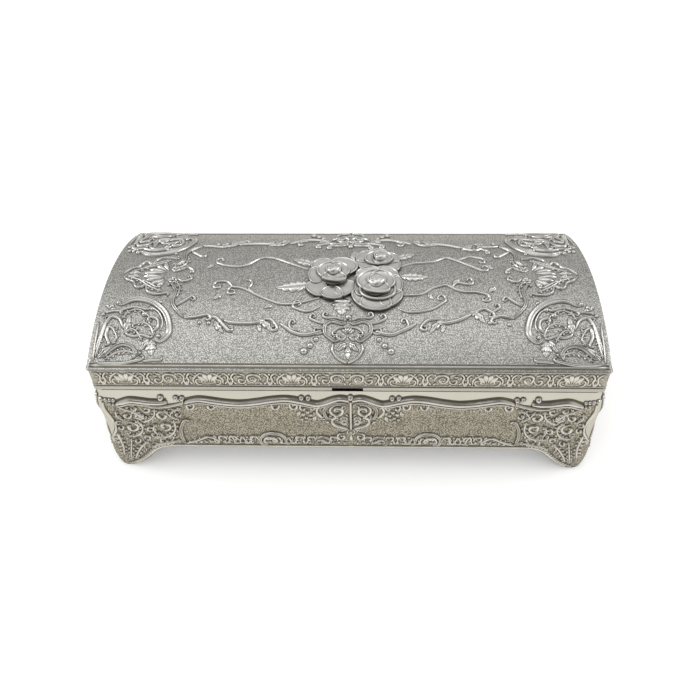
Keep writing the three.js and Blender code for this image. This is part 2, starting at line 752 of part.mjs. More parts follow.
function lidCasting() {
  const top = ledgeTop + domeRise + overrun;
  const walls = toSolid(loft(lidWallSkin(top)));
  const reach = Math.max(lipReach, ledgeReach);
  const underDome = toSolid(box(
    -halfLength - overrun, halfLength + overrun, -halfWidth - reach, halfWidth + reach,
    lidBottom, ledgeTop));
  const arch = archSolid(domeRadius, ledgeTop, halfLength + overrun);
  let body = walls.intersect(arch.add(underDome));
  body = union([body, ...domeOrnament()]);
  const innerArch = archSolid(domeRadius - lidWall, ledgeTop, halfLength);
  const innerTop = innerArch.add(toSolid(box(
    -halfLength, halfLength, -halfWidth, halfWidth, lidBottom - overrun, ledgeTop)));
  const innerWalls = toSolid(roundedPrism(
    halfLength - lidWall, halfWidth - lidWall, lidCornerRadius - lidWall / 2, lidBottom - overrun, top));
  body = body.subtract(innerTop.intersect(innerWalls));
  body = body.subtract(toSolid(box(
    -thumbSlotWidth / 2, thumbSlotWidth / 2, -halfWidth - overrun, -halfWidth + thumbSlotDepth,
    lidBottom - overrun, lidBottom + thumbSlotHeight)));
  for (const centre of [-hingeSpread, hingeSpread]) {
    const knuckle = toSolid(cylinderAlongX(knuckleRadius, hingeY, hingeZ, ...lidKnuckleSpan(centre)));
    for (const [from, to] of baseKnuckleSpans(centre)) {
      body = body.subtract(toSolid(cylinderAlongX(
        hingeNotchRadius, hingeY, hingeZ, from - knuckleGap, to + knuckleGap)));
    }
    body = body.add(knuckle).subtract(pinSpace(centre));
  }
  return body;
}

// Loose pieces

function hingePin(centre) {
  const half = hingeLength / 2 + knuckleGap;
  const tip = half + pinHeadLength;
  const bend = half + pinHeadLength / 2;
  const profile = [
    [0, -tip], [pinHeadRadius / 2, -tip], [pinHeadRadius, -bend], [pinHeadRadius, -half], [pinRadius, -half],
    [pinRadius, half], [pinHeadRadius, half], [pinHeadRadius, bend], [pinHeadRadius / 2, tip], [0, tip],
  ].map(([radius, along]) => new THREE.Vector2(radius, along));
  const geometry = new THREE.LatheGeometry(profile, fastenerSteps);
  return geometry.rotateZ(-Math.PI / 2).translate(centre, hingeY, hingeZ);
}

function bottomPlate() {
  const reach = ogeeReach(plateBottom) - baseWall - plateEdgeGap;
  const radius = baseCornerRadius + reach;
  let plate = toSolid(roundedPrism(
    halfLength + reach, halfWidth + reach, radius, plateBottom, plateBottom + plateThickness));
  for (const place of screwPlaces()) {
    plate = plate.subtract(screwHole(place, plateBottom - overrun, plateBottom + overrun));
  }
  return plate;
}

function bottomScrew([x, y]) {
  const headTop = plateBottom - clearance;
  const headBottom = headTop - screwHeadHeight;
  const profile = [
    [0, headBottom], [screwHeadRadius - screwHeadBevel, headBottom],
    [screwHeadRadius, headBottom + screwHeadBevel], [screwHeadRadius, headTop],
    [screwShankRadius, headTop], [screwShankRadius, flangeTop - screwHeadBevel],
    [screwShankRadius - screwHeadBevel, flangeTop], [0, flangeTop],
  ].map(([radius, along]) => new THREE.Vector2(radius, along));
  return new THREE.LatheGeometry(profile, fastenerSteps).rotateX(Math.PI / 2).translate(x, y, 0);
}

// A lining panel standing on edge along X, its top edge rounded over.
function standingPanel(halfX, y, low, high) {
  const shape = new THREE.Shape();
  const near = y - liningThickness / 2;
  const far = y + liningThickness / 2;
  shape.moveTo(near, low);
  shape.lineTo(far, low);
  shape.lineTo(far, high - liningEdgeRadius);
  shape.quadraticCurveTo(far, high, y, high);
  shape.quadraticCurveTo(near, high, near, high - liningEdgeRadius);
  return rodAlongX(shape, -halfX, halfX);
}

const liningFace = halfWidth - baseWall - clearance;
const endLiningFace = halfLength - baseWall - clearance;
const baseLiningTop = baseHeight - liningRimDrop;
const longPanelHalf = endLiningFace - liningThickness - clearance;
const endPanelHalf = liningFace - liningThickness - clearance;

function floorPad() {
  const halfX = endLiningFace - liningThickness - clearance;
  const halfY = liningFace - liningThickness - clearance;
  const top = liningBottom + floorPadThickness;
  const ease = floorPadBevel / 3;
  return loft([
    roundedRing(halfX, halfY, floorPadCornerRadius, liningBottom),
    roundedRing(halfX, halfY, floorPadCornerRadius, top - floorPadBevel),
    roundedRing(halfX - ease, halfY - ease, floorPadCornerRadius, top - ease),
    roundedRing(halfX - floorPadBevel, halfY - floorPadBevel, floorPadCornerRadius, top),
  ]);
}

// Lid lining: strips and end panels on the walls, with the crown panel curving over them.
const lidLiningFace = halfWidth - lidWall - clearance;
const lidEndLiningFace = halfLength - lidWall - clearance;
const lidLongPanelHalf = lidEndLiningFace - liningThickness - clearance;
const lidLiningBottom = lidBottom + liningRimDrop;
const crownOuterRadius = domeRadius - lidWall - clearance;
const crownInnerRadius = crownOuterRadius - crownLiningThickness;

function arcHeight(radius, y) {
  return domeCentre + Math.sqrt(radius ** 2 - y ** 2);
}

function crownLining() {
  const halfX = lidEndLiningFace - crownLiningInset;
  const angle = Math.asin((lidLiningFace - crownLiningInset) / crownOuterRadius);
  const shape = new THREE.Shape();
  shape.absarc(0, domeCentre, crownOuterRadius, Math.PI / 2 - angle, Math.PI / 2 + angle, false);
  shape.absarc(0, domeCentre, crownInnerRadius, Math.PI / 2 + angle, Math.PI / 2 - angle, true);
  return rodAlongX(new THREE.Shape(shape.getPoints(archSteps)), -halfX, halfX);
}

function lidEndLining() {
  const half = lidLiningFace - liningThickness - clearance;
  const radius = crownInnerRadius - clearance;
  const angle = Math.asin(half / radius);
  const shape = new THREE.Shape();
  shape.moveTo(-half, lidLiningBottom);
  shape.lineTo(half, lidLiningBottom);
  shape.absarc(0, domeCentre, radius, Math.PI / 2 - angle, Math.PI / 2 + angle, false);
  return rodAlongX(new THREE.Shape(shape.getPoints(archSteps)), 0, liningThickness);
}

const lidStripTop = arcHeight(crownInnerRadius, lidLiningFace) - lidLiningTopGap;

// The casket

const casket = new THREE.Group();
const base = new THREE.Group();
const lid = new THREE.Group();
casket.add(base, lid);

base.add(piece('base_casting', baseCasting(), silver));
base.add(piece('bottom_plate', bottomPlate(), zincBack));
screwPlaces().forEach((place, i) => base.add(piece(`bottom_screw_${i + 1}`, bottomScrew(place), steel)));
base.add(piece('base_lining_floor', floorPad(), velvet));
for (const [name, side] of [['front', -1], ['back', 1]]) {
  const middle = side * (liningFace - liningThickness / 2);
  const panel = standingPanel(longPanelHalf, middle, liningBottom, baseLiningTop);
  base.add(piece(`base_lining_${name}`, panel, velvet));
  const lidMiddle = side * (lidLiningFace - liningThickness / 2);
  const strip = standingPanel(lidLongPanelHalf, lidMiddle, lidLiningBottom, lidStripTop);
  lid.add(piece(`lid_lining_${name}`, strip, velvet));
}
for (const [name, side] of [['left', -1], ['right', 1]]) {
  const middle = side * (endLiningFace - liningThickness / 2);
  const panel = standingPanel(endPanelHalf, 0, liningBottom, baseLiningTop).rotateZ(Math.PI / 2);
  base.add(piece(`base_lining_${name}`, panel.translate(middle, 0, 0), velvet));
  const face = side < 0 ? -lidEndLiningFace : lidEndLiningFace - liningThickness;
  lid.add(piece(`lid_lining_${name}`, lidEndLining().translate(face, 0, 0), velvet));
  base.add(piece(`hinge_pin_${name}`, hingePin(side * hingeSpread), steel));
}
lid.add(piece('lid_casting', lidCasting(), silver));
lid.add(piece('lid_lining_crown', crownLining(), velvet));

export default casket;
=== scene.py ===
# Silver-plated casket: the cast shells, their raised ornament and the velvet lining, around its frame.
# Lengths are in millimetres in the frame's axes, and a mesh is turned into metres when it is made.
import json
import math

import bmesh
import bpy
import numpy as np
from mathutils import Matrix, Vector


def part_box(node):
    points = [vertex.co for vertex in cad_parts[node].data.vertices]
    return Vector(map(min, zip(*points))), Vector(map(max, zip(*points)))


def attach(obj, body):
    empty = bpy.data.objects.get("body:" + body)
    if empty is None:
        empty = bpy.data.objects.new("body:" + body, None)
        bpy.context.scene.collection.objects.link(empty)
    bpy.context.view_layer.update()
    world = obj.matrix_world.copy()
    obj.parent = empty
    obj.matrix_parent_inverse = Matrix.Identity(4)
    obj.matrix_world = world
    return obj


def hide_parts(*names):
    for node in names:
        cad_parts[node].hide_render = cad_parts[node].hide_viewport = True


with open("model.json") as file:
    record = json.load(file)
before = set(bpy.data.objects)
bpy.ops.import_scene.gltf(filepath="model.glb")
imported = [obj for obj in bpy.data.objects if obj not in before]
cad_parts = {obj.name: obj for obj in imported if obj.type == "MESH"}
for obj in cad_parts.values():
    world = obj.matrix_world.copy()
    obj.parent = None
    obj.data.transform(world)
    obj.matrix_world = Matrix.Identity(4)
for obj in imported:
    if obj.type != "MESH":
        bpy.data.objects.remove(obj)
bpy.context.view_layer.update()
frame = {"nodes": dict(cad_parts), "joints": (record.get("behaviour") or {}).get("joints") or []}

MM = 0.001


def box_mm(node):
    low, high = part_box(node)
    return np.array(low) / MM, np.array(high) / MM


# Sizes that the castings share with the frame
SEAM_GAP = 0.3
HINGE_OFFSET = 0.5
LEDGE_REACH = 0.5
LID_WALL = 1.8
LID_WALL_HEIGHT = 10.3
BASE_WALL = 1.9
CLEARANCE = 0.3
LID_CORNER = 1.4
BASE_CORNER = 3.2
FOOT_FLARE = 2.4
FOOT_TOE = 4.4
FOOT_LENGTH = 24.5
APRON = 12.1
FLANGE_WIDTH = 4
FLANGE_THICKNESS = 2
FLANGE_CORNER = 8
THUMB_HALF = 5.3
THUMB_HEIGHT = 1.6
THUMB_DEPTH = 1.3
KNUCKLE_RADIUS = 1.5
KNUCKLE_LENGTH = 5
LID_KNUCKLE_LENGTH = 6
KNUCKLE_GAP = 0.3
HINGE_END_DISTANCE = 33
HINGE_RECESS = 1.35
BRACKET_DROP = 6.5

# Places worked out from the frame
HINGE_Y, HINGE_Z = np.array(frame["joints"][0]["pos_m"])[1:] / MM
RIM = HINGE_Z - SEAM_GAP / 2
HALF_W = HINGE_Y - HINGE_OFFSET
HALF_L = box_mm("lid_casting")[1][0] - LEDGE_REACH
HINGE_SPREAD = HALF_L - HINGE_END_DISTANCE
LID_BOTTOM = RIM + SEAM_GAP
LEDGE_TOP = LID_BOTTOM + LID_WALL_HEIGHT
CROWN = box_mm("lid_lining_crown")[1][2] + CLEARANCE + LID_WALL
DOME_RISE = CROWN - LEDGE_TOP
DOME_RADIUS = (HALF_W**2 + DOME_RISE**2) / (2 * DOME_RISE)
DOME_CENTRE = CROWN - DOME_RADIUS
HALF_ARC = DOME_RADIUS * math.asin(HALF_W / DOME_RADIUS)
FLANGE_BOTTOM = box_mm("bottom_plate")[1][2] + CLEARANCE

# How far the base stands out at each height: shares of its height and of the foot's flare
OGEE_SHARES = [
    (0, 0.62), (0.07, 0.86), (0.19, 1), (0.3, 0.8), (0.4, 0.64), (0.5, 0.54),
    (0.64, 0.58), (0.78, 0.66), (0.87, 0.48), (0.94, 0.16), (1, 0),
]

# How deep a raised form reaches into its ground, how finely paths are stepped, and the thin dark skirt in
# the angle where a form meets its ground: painted contact shadow, with some tarnish
SINK = 0.3
STEP = 0.6
SKIRT = 0.16
SKIRT_RISE = 0.03
SKIRT_MARK = -2


# Paths: a list of points, u and v in turn

def even(line, step):
    """The line again, with its points an even step apart."""
    line = np.reshape(np.asarray(line, float), (-1, 2))
    run = np.r_[0, np.cumsum(np.linalg.norm(np.diff(line, axis=0), axis=1))]
    count = max(5, int(round(run[-1] / step)) + 1)
    at = np.linspace(0, run[-1], count)
    return np.stack([np.interp(at, run, line[:, 0]), np.interp(at, run, line[:, 1])], 1)


def through(points, step=STEP):
    """A smooth line through the points."""
    p = np.reshape(np.asarray(points, float), (-1, 2))
    p = np.vstack([2 * p[0] - p[1], p, 2 * p[-1] - p[-2]])
    t = np.linspace(0, 1, 13)[:-1, None]
    parts = []
    for a, b, c, d in zip(p, p[1:], p[2:], p[3:]):
        parts.append((2 * b + t * (c - a) + t**2 * (2 * a - 5 * b + 4 * c - d)
                      + t**3 * (3 * b - a - 3 * c + d)) / 2)
    return even(np.vstack(parts + [p[-2:-1]]), step)


def aim(turn):
    """The direction at a turn in degrees."""
    return np.array([math.cos(math.radians(turn)), math.sin(math.radians(turn))])


def arc(centre, radii, start, end):
    """Points on an elliptic arc; angles in degrees."""
    turn = np.radians(np.linspace(start, end, max(5, int(abs(end - start) / 18))))
    return np.stack([centre[0] + radii[0] * np.cos(turn), centre[1] + radii[1] * np.sin(turn)], 1)


def spiral(place, heading, turns, radius):
    """A volute that leaves a place along heading and tightens; turns is above zero anticlockwise."""
    count = max(6, int(abs(turns) * 18))
    bend = turns * 2 * math.pi / count
    points = []
    for k in range(count):
        heading += bend
        tight = radius * (1 - 0.72 * k / count)
        place = place + abs(bend) * tight * np.array([math.cos(heading), math.sin(heading)])
        points.append(place)
    return np.array(points)


OGEE_HEIGHTS, OGEE_REACHES = through(OGEE_SHARES, 0.01).T


def ogee(z):
    return FOOT_FLARE * np.interp(np.asarray(z, float) / RIM, OGEE_HEIGHTS, OGEE_REACHES)


# Places on the casting: u and v lie along a face, h is the height above it

SIDES = ("front", "right", "back", "left")


def half_of(side):
    return HALF_L if side in ("front", "back") else HALF_W


def reach_of(side):
    return HALF_W if side in ("front", "back") else HALF_L


def facing(side):
    """The directions out from a side of the box, and along it to the right as it is seen."""
    out = np.array([(0, -1), (1, 0), (0, 1), (-1, 0)][SIDES.index(side)], float)
    return out, np.array([-out[1], out[0]])


def on_dome(u, v, h):
    turn = v / DOME_RADIUS
    radius = DOME_RADIUS + h
    return np.stack([u, radius * np.sin(turn), DOME_CENTRE + radius * np.cos(turn)], -1)


def on_wall(side):
    """The face of the base on one side: front, right, back or left."""
    return lambda u, v, h: faced(side, u, v, ogee(v) + h, BASE_CORNER)


def on_frieze(side):
    return lambda u, v, h: faced(side, u, v, h, LID_CORNER)


def faced(side, u, v, lift, radius):
    """A place out from a side of the box, which turns round the corner at each end."""
    u, v, lift = np.broadcast_arrays(u, v, lift)
    half = half_of(side)
    round_end = np.clip((np.abs(u) - half + radius) / radius, 0, 0.97)
    across = np.where(round_end > 0, half - radius + (radius + lift) * round_end, np.abs(u)) * np.sign(u)
    away = reach_of(side) - radius + (radius + lift) * np.sqrt(1 - round_end**2)
    out, along = facing(side)
    return np.concatenate([across[..., None] * along + away[..., None] * out, v[..., None]], -1)


# Raised forms

def section(sides, rises):
    """A cross-section: places across from -1 to 1 and their shares of the height, closed below."""
    return np.array([-1, *sides, 1, 0.75, -0.75]), np.array([SKIRT_MARK, *rises, SKIRT_MARK, -1, -1])


ROUND_TURNS = np.linspace(math.pi, 0, 5)
ROUND = section(np.cos(ROUND_TURNS), np.sin(ROUND_TURNS) ** 0.8)
GROOVED = section([-1, -0.86, -0.55, -0.3, 0, 0.3, 0.55, 0.86, 1], [0, 0.7, 1, 0.72, 0.4, 0.72, 1, 0.7, 0])
# A flat strip with no crest, which the material paints dark all over: a painted shadow
SHADOW_STRIP = section([-1, 0, 1], [0, 0, 0])
VEINED = section([-1, -0.8, -0.45, -0.14, 0, 0.14, 0.45, 0.8, 1], [0, 0.75, 1, 0.8, 0.45, 0.8, 1, 0.75, 0])


class Relief:
    """Raised forms gathered into one mesh. A crest is 0 where a form leaves its ground and 1 on top; the
    material paints 0 dark as painted contact shadow and 1 pale as a painted highlight.
    """

    def __init__(self):
        self.points = []
        self.faces = []
        self.crests = []
        self.count = 0

    def tube(self, rings, crests):
        rows, sides = rings.shape[:2]
        number = self.count + np.arange(rows * sides).reshape(rows, sides)
        self.points.append(rings.reshape(-1, 3))
        self.crests.append(np.broadcast_to(crests, (rows, sides)).ravel())
        a, b = number, np.roll(number, -1, axis=1)
        self.faces += np.stack([a[:-1], b[:-1], b[1:], a[1:]], -1).reshape(-1, 4).tolist()
        self.faces += [number[0, ::-1].tolist(), number[-1].tolist()]
        self.count += rows * sides


class Pen:
    """Draws raised forms at a place on the casting. Widths and heights are of the whole form."""

    def __init__(self, relief, place):
        self.relief = relief
        self.place = place

    def mirrored(self):
        return Pen(self.relief, lambda u, v, h: self.place(-np.asarray(u), v, h))

    def fore_and_aft(self):
        return Pen(self.relief, lambda u, v, h: self.place(u, -np.asarray(v), h))

    def raised(self, lift):
        return Pen(self.relief, lambda u, v, h: self.place(u, v, h + lift))

    def from_end(self, half):
        """Local u is the distance inwards from the right end of a face."""
        return Pen(self.relief, lambda u, v, h: self.place(half - np.asarray(u), v, h))

    def local(self, u, v, size=1, flip=1):
        """A motif's own axes, set at u, v, sized and perhaps flipped."""
        return Pen(self.relief, lambda a, b, h: self.place(u + size * (a * flip), v + size * b, h))

    def draw(self, forms, paired_forms=None):
        """A motif: for each kind of form its rows of values, and the forms that it has on both sides."""
        for pen, some in ((self, forms), (self, paired_forms or {}), (self.mirrored(), paired_forms or {})):
            for kind, rows in some.items():
                for row in rows:
                    getattr(pen, kind)(*row)

    def sweep(self, line, half, height, profile=ROUND, sink=SINK):
        along = np.gradient(line, axis=0)
        along /= np.maximum(np.linalg.norm(along, axis=1), 1e-9)[:, None]
        across, rise = profile
        half = np.broadcast_to(half, len(line))[:, None]
        height = np.broadcast_to(height, len(line))[:, None]
        skirt = rise == SKIRT_MARK
        off = half * across + np.where(skirt, SKIRT * np.sign(across), 0)
        h = np.where(skirt | (rise == 0), SKIRT_RISE, np.where(rise < 0, -sink, height * rise))
        u = line[:, 0, None] - along[:, 1, None] * off
        v = line[:, 1, None] + along[:, 0, None] * off
        self.relief.tube(self.place(u, v, h), np.maximum(rise, 0))

    def stroke(self, path, width, height, start=0, end=0, volute=0, profile=ROUND, ends=(0.35, 0.35),
               sink=SINK):
        """A raised strip along a path. start and end are the signed turns of a volute there."""
        line = through(path)
        for turns, way in ((-start, -1), (end, 1)):
            if turns:
                line = line[::way]
                step = line[-1] - line[-2]
                tail = spiral(line[-1], math.atan2(step[1], step[0]), turns, volute or width * 0.8)
                line = even(np.vstack([line, tail]), STEP * 0.8)
                self.ball(*line[-1], width * 0.42, height * 1.1)
                line = line[::way]
        share = np.linspace(0, 1, len(line))
        taper = 0.22
        swell = np.minimum(
            ends[0] + (1 - ends[0]) * np.sin(np.clip(share / taper, 0, 1) * math.pi / 2),
            ends[1] + (1 - ends[1]) * np.sin(np.clip((1 - share) / taper, 0, 1) * math.pi / 2))
        self.sweep(line, width / 2 * swell, height * swell**0.6, profile, sink)

    def drop(self, path, width, height):
        """A tear drop from one point to another, fullest near its end."""
        line = even(path, STEP * 0.7)
        full = np.sin(math.pi * np.linspace(0, 1, len(line)) ** 1.5) ** 0.7
        self.sweep(line, width / 2 * np.maximum(full, 0.12), height * np.maximum(full, 0.2))

    def ray(self, u, v, turn, near, far, width, height):
        """A tear drop that points away from a centre, between two distances from it."""
        centre = np.array([u, v])
        self.drop([centre + near * aim(turn), centre + far * aim(turn)], width, height)

    def ball(self, u, v, radius, height=0):
        around = np.linspace(0, 2 * math.pi, 10)[:-1]
        ring = [(0.85, -SINK, 0), (1 + SKIRT / radius, SKIRT_RISE, 0), (1, SKIRT_RISE, 0)]
        for tilt in (35, 72):
            out, rise = aim(tilt)
            ring.append((out, (height or radius * 0.9) * rise, rise))
        share, h, crest = (np.array(x)[:, None] for x in zip(*ring))
        across, up = radius * share * np.cos(around), radius * share * np.sin(around)
        self.relief.tube(self.place(u + across, v + up, h + 0 * around), crest)

    def leaf(self, path, width, lobes=3, bend=0, height=0.8):
        """A toothed leaf with a vein, from base to tip; bend is its bow as a share of its length."""
        base, tip = np.reshape(path, (2, 2))
        run = tip - base
        middle = (base + tip) / 2 + bend * np.array([-run[1], run[0]])
        share = np.linspace(0, 1, 7 * lobes + 2)
        s = share[:, None]
        line = (1 - s) ** 2 * base + 2 * s * (1 - s) * middle + s**2 * tip
        tooth = (share * lobes * 0.999) % 1
        full = np.sin(math.pi * share**0.85) ** 0.75
        half = width / 2 * full * (1 - 0.42 * (1 - tooth) ** 1.5)
        half[0] = half[-1] = width * 0.03
        self.sweep(line, half, height * (0.55 + 0.45 * tooth) * np.maximum(full, 0.3), VEINED)

    def fan(self, u, v, radius, start, end, ribs, height):
        """A shell of drops that spread from one point."""
        width = 1.1 * radius * abs(math.radians(end - start)) / ribs
        for turn in np.linspace(start, end, ribs):
            self.ray(u, v, turn, 0.2 * radius, radius, width, height)

    def acanthus(self, path, width, lobes, curl=0, height=0.9):
        """A stem with pairs of lobes that lean along it, smaller towards its ends."""
        line = through(path)
        self.stroke(path, 0.42 * width, height, 0, curl, 0.5 * width)
        for k in range(lobes):
            share = (k + 0.5) / lobes
            i = int(share * (len(line) - 2))
            heading = math.atan2(*(line[i + 1] - line[i])[::-1])
            reach = width * (0.5 + 0.45 * math.sin(math.pi * share))
            for lean in (-0.8, 0.8):
                self.ray(*line[i], math.degrees(heading + lean), 0, reach, 0.42 * width, 0.85 * height)

    def rosette(self, u, v, radius, petals=5, height=0.7):
        for k in range(petals):
            self.ray(u, v, 90 + 360 * k / petals, 0.15 * radius, radius, 1.15 * radius, height)
        self.ball(u, v, radius * 0.34, height * 1.25)

    def scroll(self, u, v, radius, start, turn, width=0.95, height=0.85):
        """A curl that winds inwards from start through turn, in degrees, to a small ball."""
        share = np.linspace(0, 1, max(9, int(abs(turn) / 20)))
        angle = np.radians(start + turn * share)
        reach = radius * (1 - 0.66 * share**1.3)
        line = np.stack([u + reach * np.cos(angle), v + reach * np.sin(angle)], 1)
        swell = 0.45 + 0.55 * np.sin(np.clip(share * 3, 0, 1) * math.pi / 2)
        self.sweep(line, width / 2 * swell, height * swell)
        self.ball(*line[-1], width * 0.45, height * 1.1)

    def petal(self, centre, turn, size, low, high, dish, egg=0.22):
        """A cupped petal: the way it opens, its half length and half width, and its low and high edge."""
        around = np.linspace(0, 2 * math.pi, 25)[:-1]
        c, s = aim(turn)
        share, level, crest = (np.array(x)[:, None] for x in zip(*dish))
        out = share * np.cos(around)
        across = share * np.sin(around) * (1 + egg * np.cos(around))
        u = centre[0] + c * size[0] * out - s * size[1] * across
        v = centre[1] + s * size[0] * out + c * size[1] * across
        edge = low + (high - low) * (1 + out) / 2
        self.relief.tube(self.place(u, v, np.where(level < 0, -SINK, edge * level)), crest)


# A petal's dish from its edge inwards: share of its size, level of its height (-1 is under the ground) and
# crest value, which gives a painted highlight along the rim and painted shade in the crease inside it
PETAL_DISH = [
    (0.98, -1, 0), (1, 0.3, 0), (0.99, 0.75, 0.2), (0.97, 0.96, 1), (0.93, 1, 1), (0.89, 0.94, 0.8),
    (0.85, 0.8, 0.2), (0.78, 0.76, 0.6), (0.5, 0.7, 0.7), (0.25, 0.68, 0.7), (0.03, 0.68, 0.7),
]
# A bud's dish in the same columns: its crest value rises inwards, painted shade at its foot and a painted
# highlight on top
BUD_DISH = [
    (0.96, -1, 0), (1, 0.35, 0.1), (0.97, 0.6, 0.6), (0.86, 0.82, 0.9), (0.66, 0.94, 1), (0.35, 1, 1),
    (0.03, 1, 1),
]

# The three roses: petals from the outside in, as (centre, way it opens, half sizes, low and high edge)
LEFT_ROSE = [
    ((-2.4, 3.6), 62, (5.4, 5.4), 1.3, 1.9),
    ((-9.7, 4.8), 122, (3.9, 4.2), 1, 1.6),
    ((-11.2, -0.6), 180, (3.6, 4.7), 0.9, 1.5),
    ((-1.6, -7.2), 312, (3.9, 4.4), 1, 1.4),
    ((-11, -7.3), 228, (3.8, 4.3), 0.8, 1.4),
    ((-5.7, -9.7), 262, (3.4, 4.1), 1, 1.9),
    ((-6.6, 0.8), 110, (4.9, 4.9), 1.6, 2.3),
    ((-4.2, 0.7), 40, (4.4, 4.4), 1.9, 2.6),
    ((-5.2, -2.7), 262, (3.2, 4.6), 2, 3.3),
]
RIGHT_ROSE = [
    ((13.4, -0.2), 60, (3.6, 4.4), 1, 1.7),
    ((7.2, -0.4), 112, (3.8, 4.6), 1, 1.8),
    ((15.9, -5.6), 4, (3.4, 5), 0.9, 1.6),
    ((4.7, -6), 182, (3.1, 5.6), 1, 1.7),
    ((14.6, -11.6), 318, (4.1, 4.8), 0.8, 1.7),
    ((6, -12), 222, (4.2, 5.4), 0.8, 1.5),
    ((9.6, -13.8), 268, (4.2, 5.8), 1.1, 1.8),
    ((10.3, -7.6), 268, (6.2, 6.6), 1.5, 2.2),
    ((9, -5), 115, (5.9, 6), 1.7, 2.5),
    ((11.4, -4.8), 40, (5, 5), 2, 2.8),
    ((9.9, -8), 264, (3.4, 5), 2.2, 3.4),
]
THIRD_ROSE = [
    ((10.4, 13.2), 100, (3.1, 3.8), 0.9, 1.5),
    ((6.4, 10.4), 150, (3.6, 4.4), 0.9, 1.6),
    ((6, 5.8), 206, (3.4, 3.8), 0.9, 1.5),
    ((15.4, 9.6), 28, (3, 3.6), 0.9, 1.5),
    ((16, 4.6), 340, (3, 3.4), 0.8, 1.4),
    ((10.4, 9), 130, (4.4, 4.6), 1.4, 2.2),
    ((12, 8.6), 60, (3.9, 4), 1.7, 2.6),
]
# Painted shadows under the rolled lips, as flat dark strips: path, width and height above the dome
ROSE_LIP_SHADOWS = [
    ([(-8.6, -5.3), (-6, -6.2), (-3.4, -5.6), (-2.2, -4.6)], 1.3, 1.75),
    ([(-8, -12.7), (-5.4, -13.2)], 0.8, 0.25),
    ([(6.4, -10.4), (9.6, -11.4), (13.4, -10.3)], 1.4, 1.95), ([(12.2, -15.6), (14.6, -14.8)], 0.9, 0.6),
    ([(4.2, -15), (6.6, -16.6)], 0.8, 0.5),
]
# The buds: centre, way they open, half sizes and height
BUDS = [
    ((-5.7, 0.9), 80, (2.7, 2.9), 3.5), ((9.8, -4.9), 80, (3.4, 3.6), 3.4),
    ((11.3, 9.3), 70, (2.3, 2.6), 3.1),
]


def roses(pen):
    for flower in (THIRD_ROSE, LEFT_ROSE, RIGHT_ROSE):
        for row in flower:
            pen.petal(*row, PETAL_DISH)
    for path, width, lift in ROSE_LIP_SHADOWS:
        line = through(path)
        taper = np.sin(np.linspace(0.15, math.pi - 0.15, len(line)))
        # A flat dark strip that tapers at its ends: painted shadow under the lip
        pen.raised(lift).sweep(line, width / 2 * taper, 0, SHADOW_STRIP)
    for centre, turn, (long, wide), height in BUDS:
        pen.petal(centre, turn, (long, wide), height, height * 1.02, BUD_DISH)
        top = pen.raised(height - 0.25)
        top.stroke(arc(centre, (long * 0.62, wide * 0.55), 20, 250), 0.55, 0.5, sink=0.2)
        top.stroke(arc(centre, (long * 0.3, wide * 0.28), 200, 460), 0.45, 0.5, sink=0.2)


# The motifs below are rows of values for the forms that a Pen draws, in the order that its methods take
# them, placed by measuring the photograph. Those of the dome lie along the lid and along its arc. What a
# motif has on both sides of its middle is in a second group, named SIDES

# Thin tendrils beside the roses with the turns of their end volute, and leaves there
TENDRILS = [
    ([-10, -11.7, -14.8, -13.5, -19.1, -14.6, -24, -14.5, -30.7, -11.5, -37.3, -7.5, -41.3, -6.7], 1.1),
    ([-41.3, -6.7, -43.6, -4, -47, -3.9], 0.9),
    ([-33.4, -9.6, -35.6, -7.4, -34.8, -5.2], 0.4),
    ([-14.9, 3, -22.2, 7.2, -28.7, 10.7, -33.2, 10.3, -37.5, 6.1, -40.4, 4.8, -45.2, 5.4,
      -48.8, 7.1], -0.8),
    ([-9.8, -15.7, -14, -17.9, -18.4, -16.6], -0.9),
    ([18.1, -10.6, 25.4, -10.1, 30, -6.9, 34.8, -5.6, 38.2, -7.7, 41, -8.8, 45.3, -9, 48.7, -10], -0.9),
    ([36.6, -6.4, 38.6, -4.4, 42.6, -5.2], 0.8),
    ([18.6, 4.7, 23.3, 6.9, 30.4, 8, 35.8, 10.9, 39.7, 9.1, 43.6, 6.1, 48.3, 2.7], 0.9),
    ([39.7, 9.1, 44.6, 11.6, 49.1, 10.6], -0.6),
    ([18, -16.9, 22.2, -18.2, 28.9, -16.8, 33.7, -13.5], 0.9),
]
TENDRIL_LEAVES = [
    ([-44.8, -10, -47.8, -12.6], 2.4, 2, 0, 0.6), ([-26.4, -15, -29.6, -16.4], 2, 2, 0, 0.6),
    ([49.6, -8.6, 52.6, -6.2], 2.4, 2, 0, 0.6), ([37.2, -4.6, 40, -2.4], 2, 2, 0, 0.6),
    ([28, -9.4, 29.8, -12.4], 2, 2, 0, 0.6), ([50.2, 6.2, 52.6, 3.6], 2.2, 2, 0, 0.6),
    ([-50, 6.4, -52.4, 4], 2.2, 2, 0, 0.6), ([-13.6, -5, -26, -6.8], 6.4, 5, 0.05, 0.95),
    ([18.6, -0.6, 28.6, -1], 5, 5, -0.05, 0.95), ([-2, -11.6, -2.2, -19.2], 7.6, 4, 0, 0.95),
    ([-12, 6.4, -21, 10.2], 4.6, 4, 0.1, 0.95), ([16.8, 10.6, 24.6, 14], 4.4, 4, -0.1, 0.95),
    ([2.6, 8, 2, 16.4], 5, 4, 0, 0.95),
]

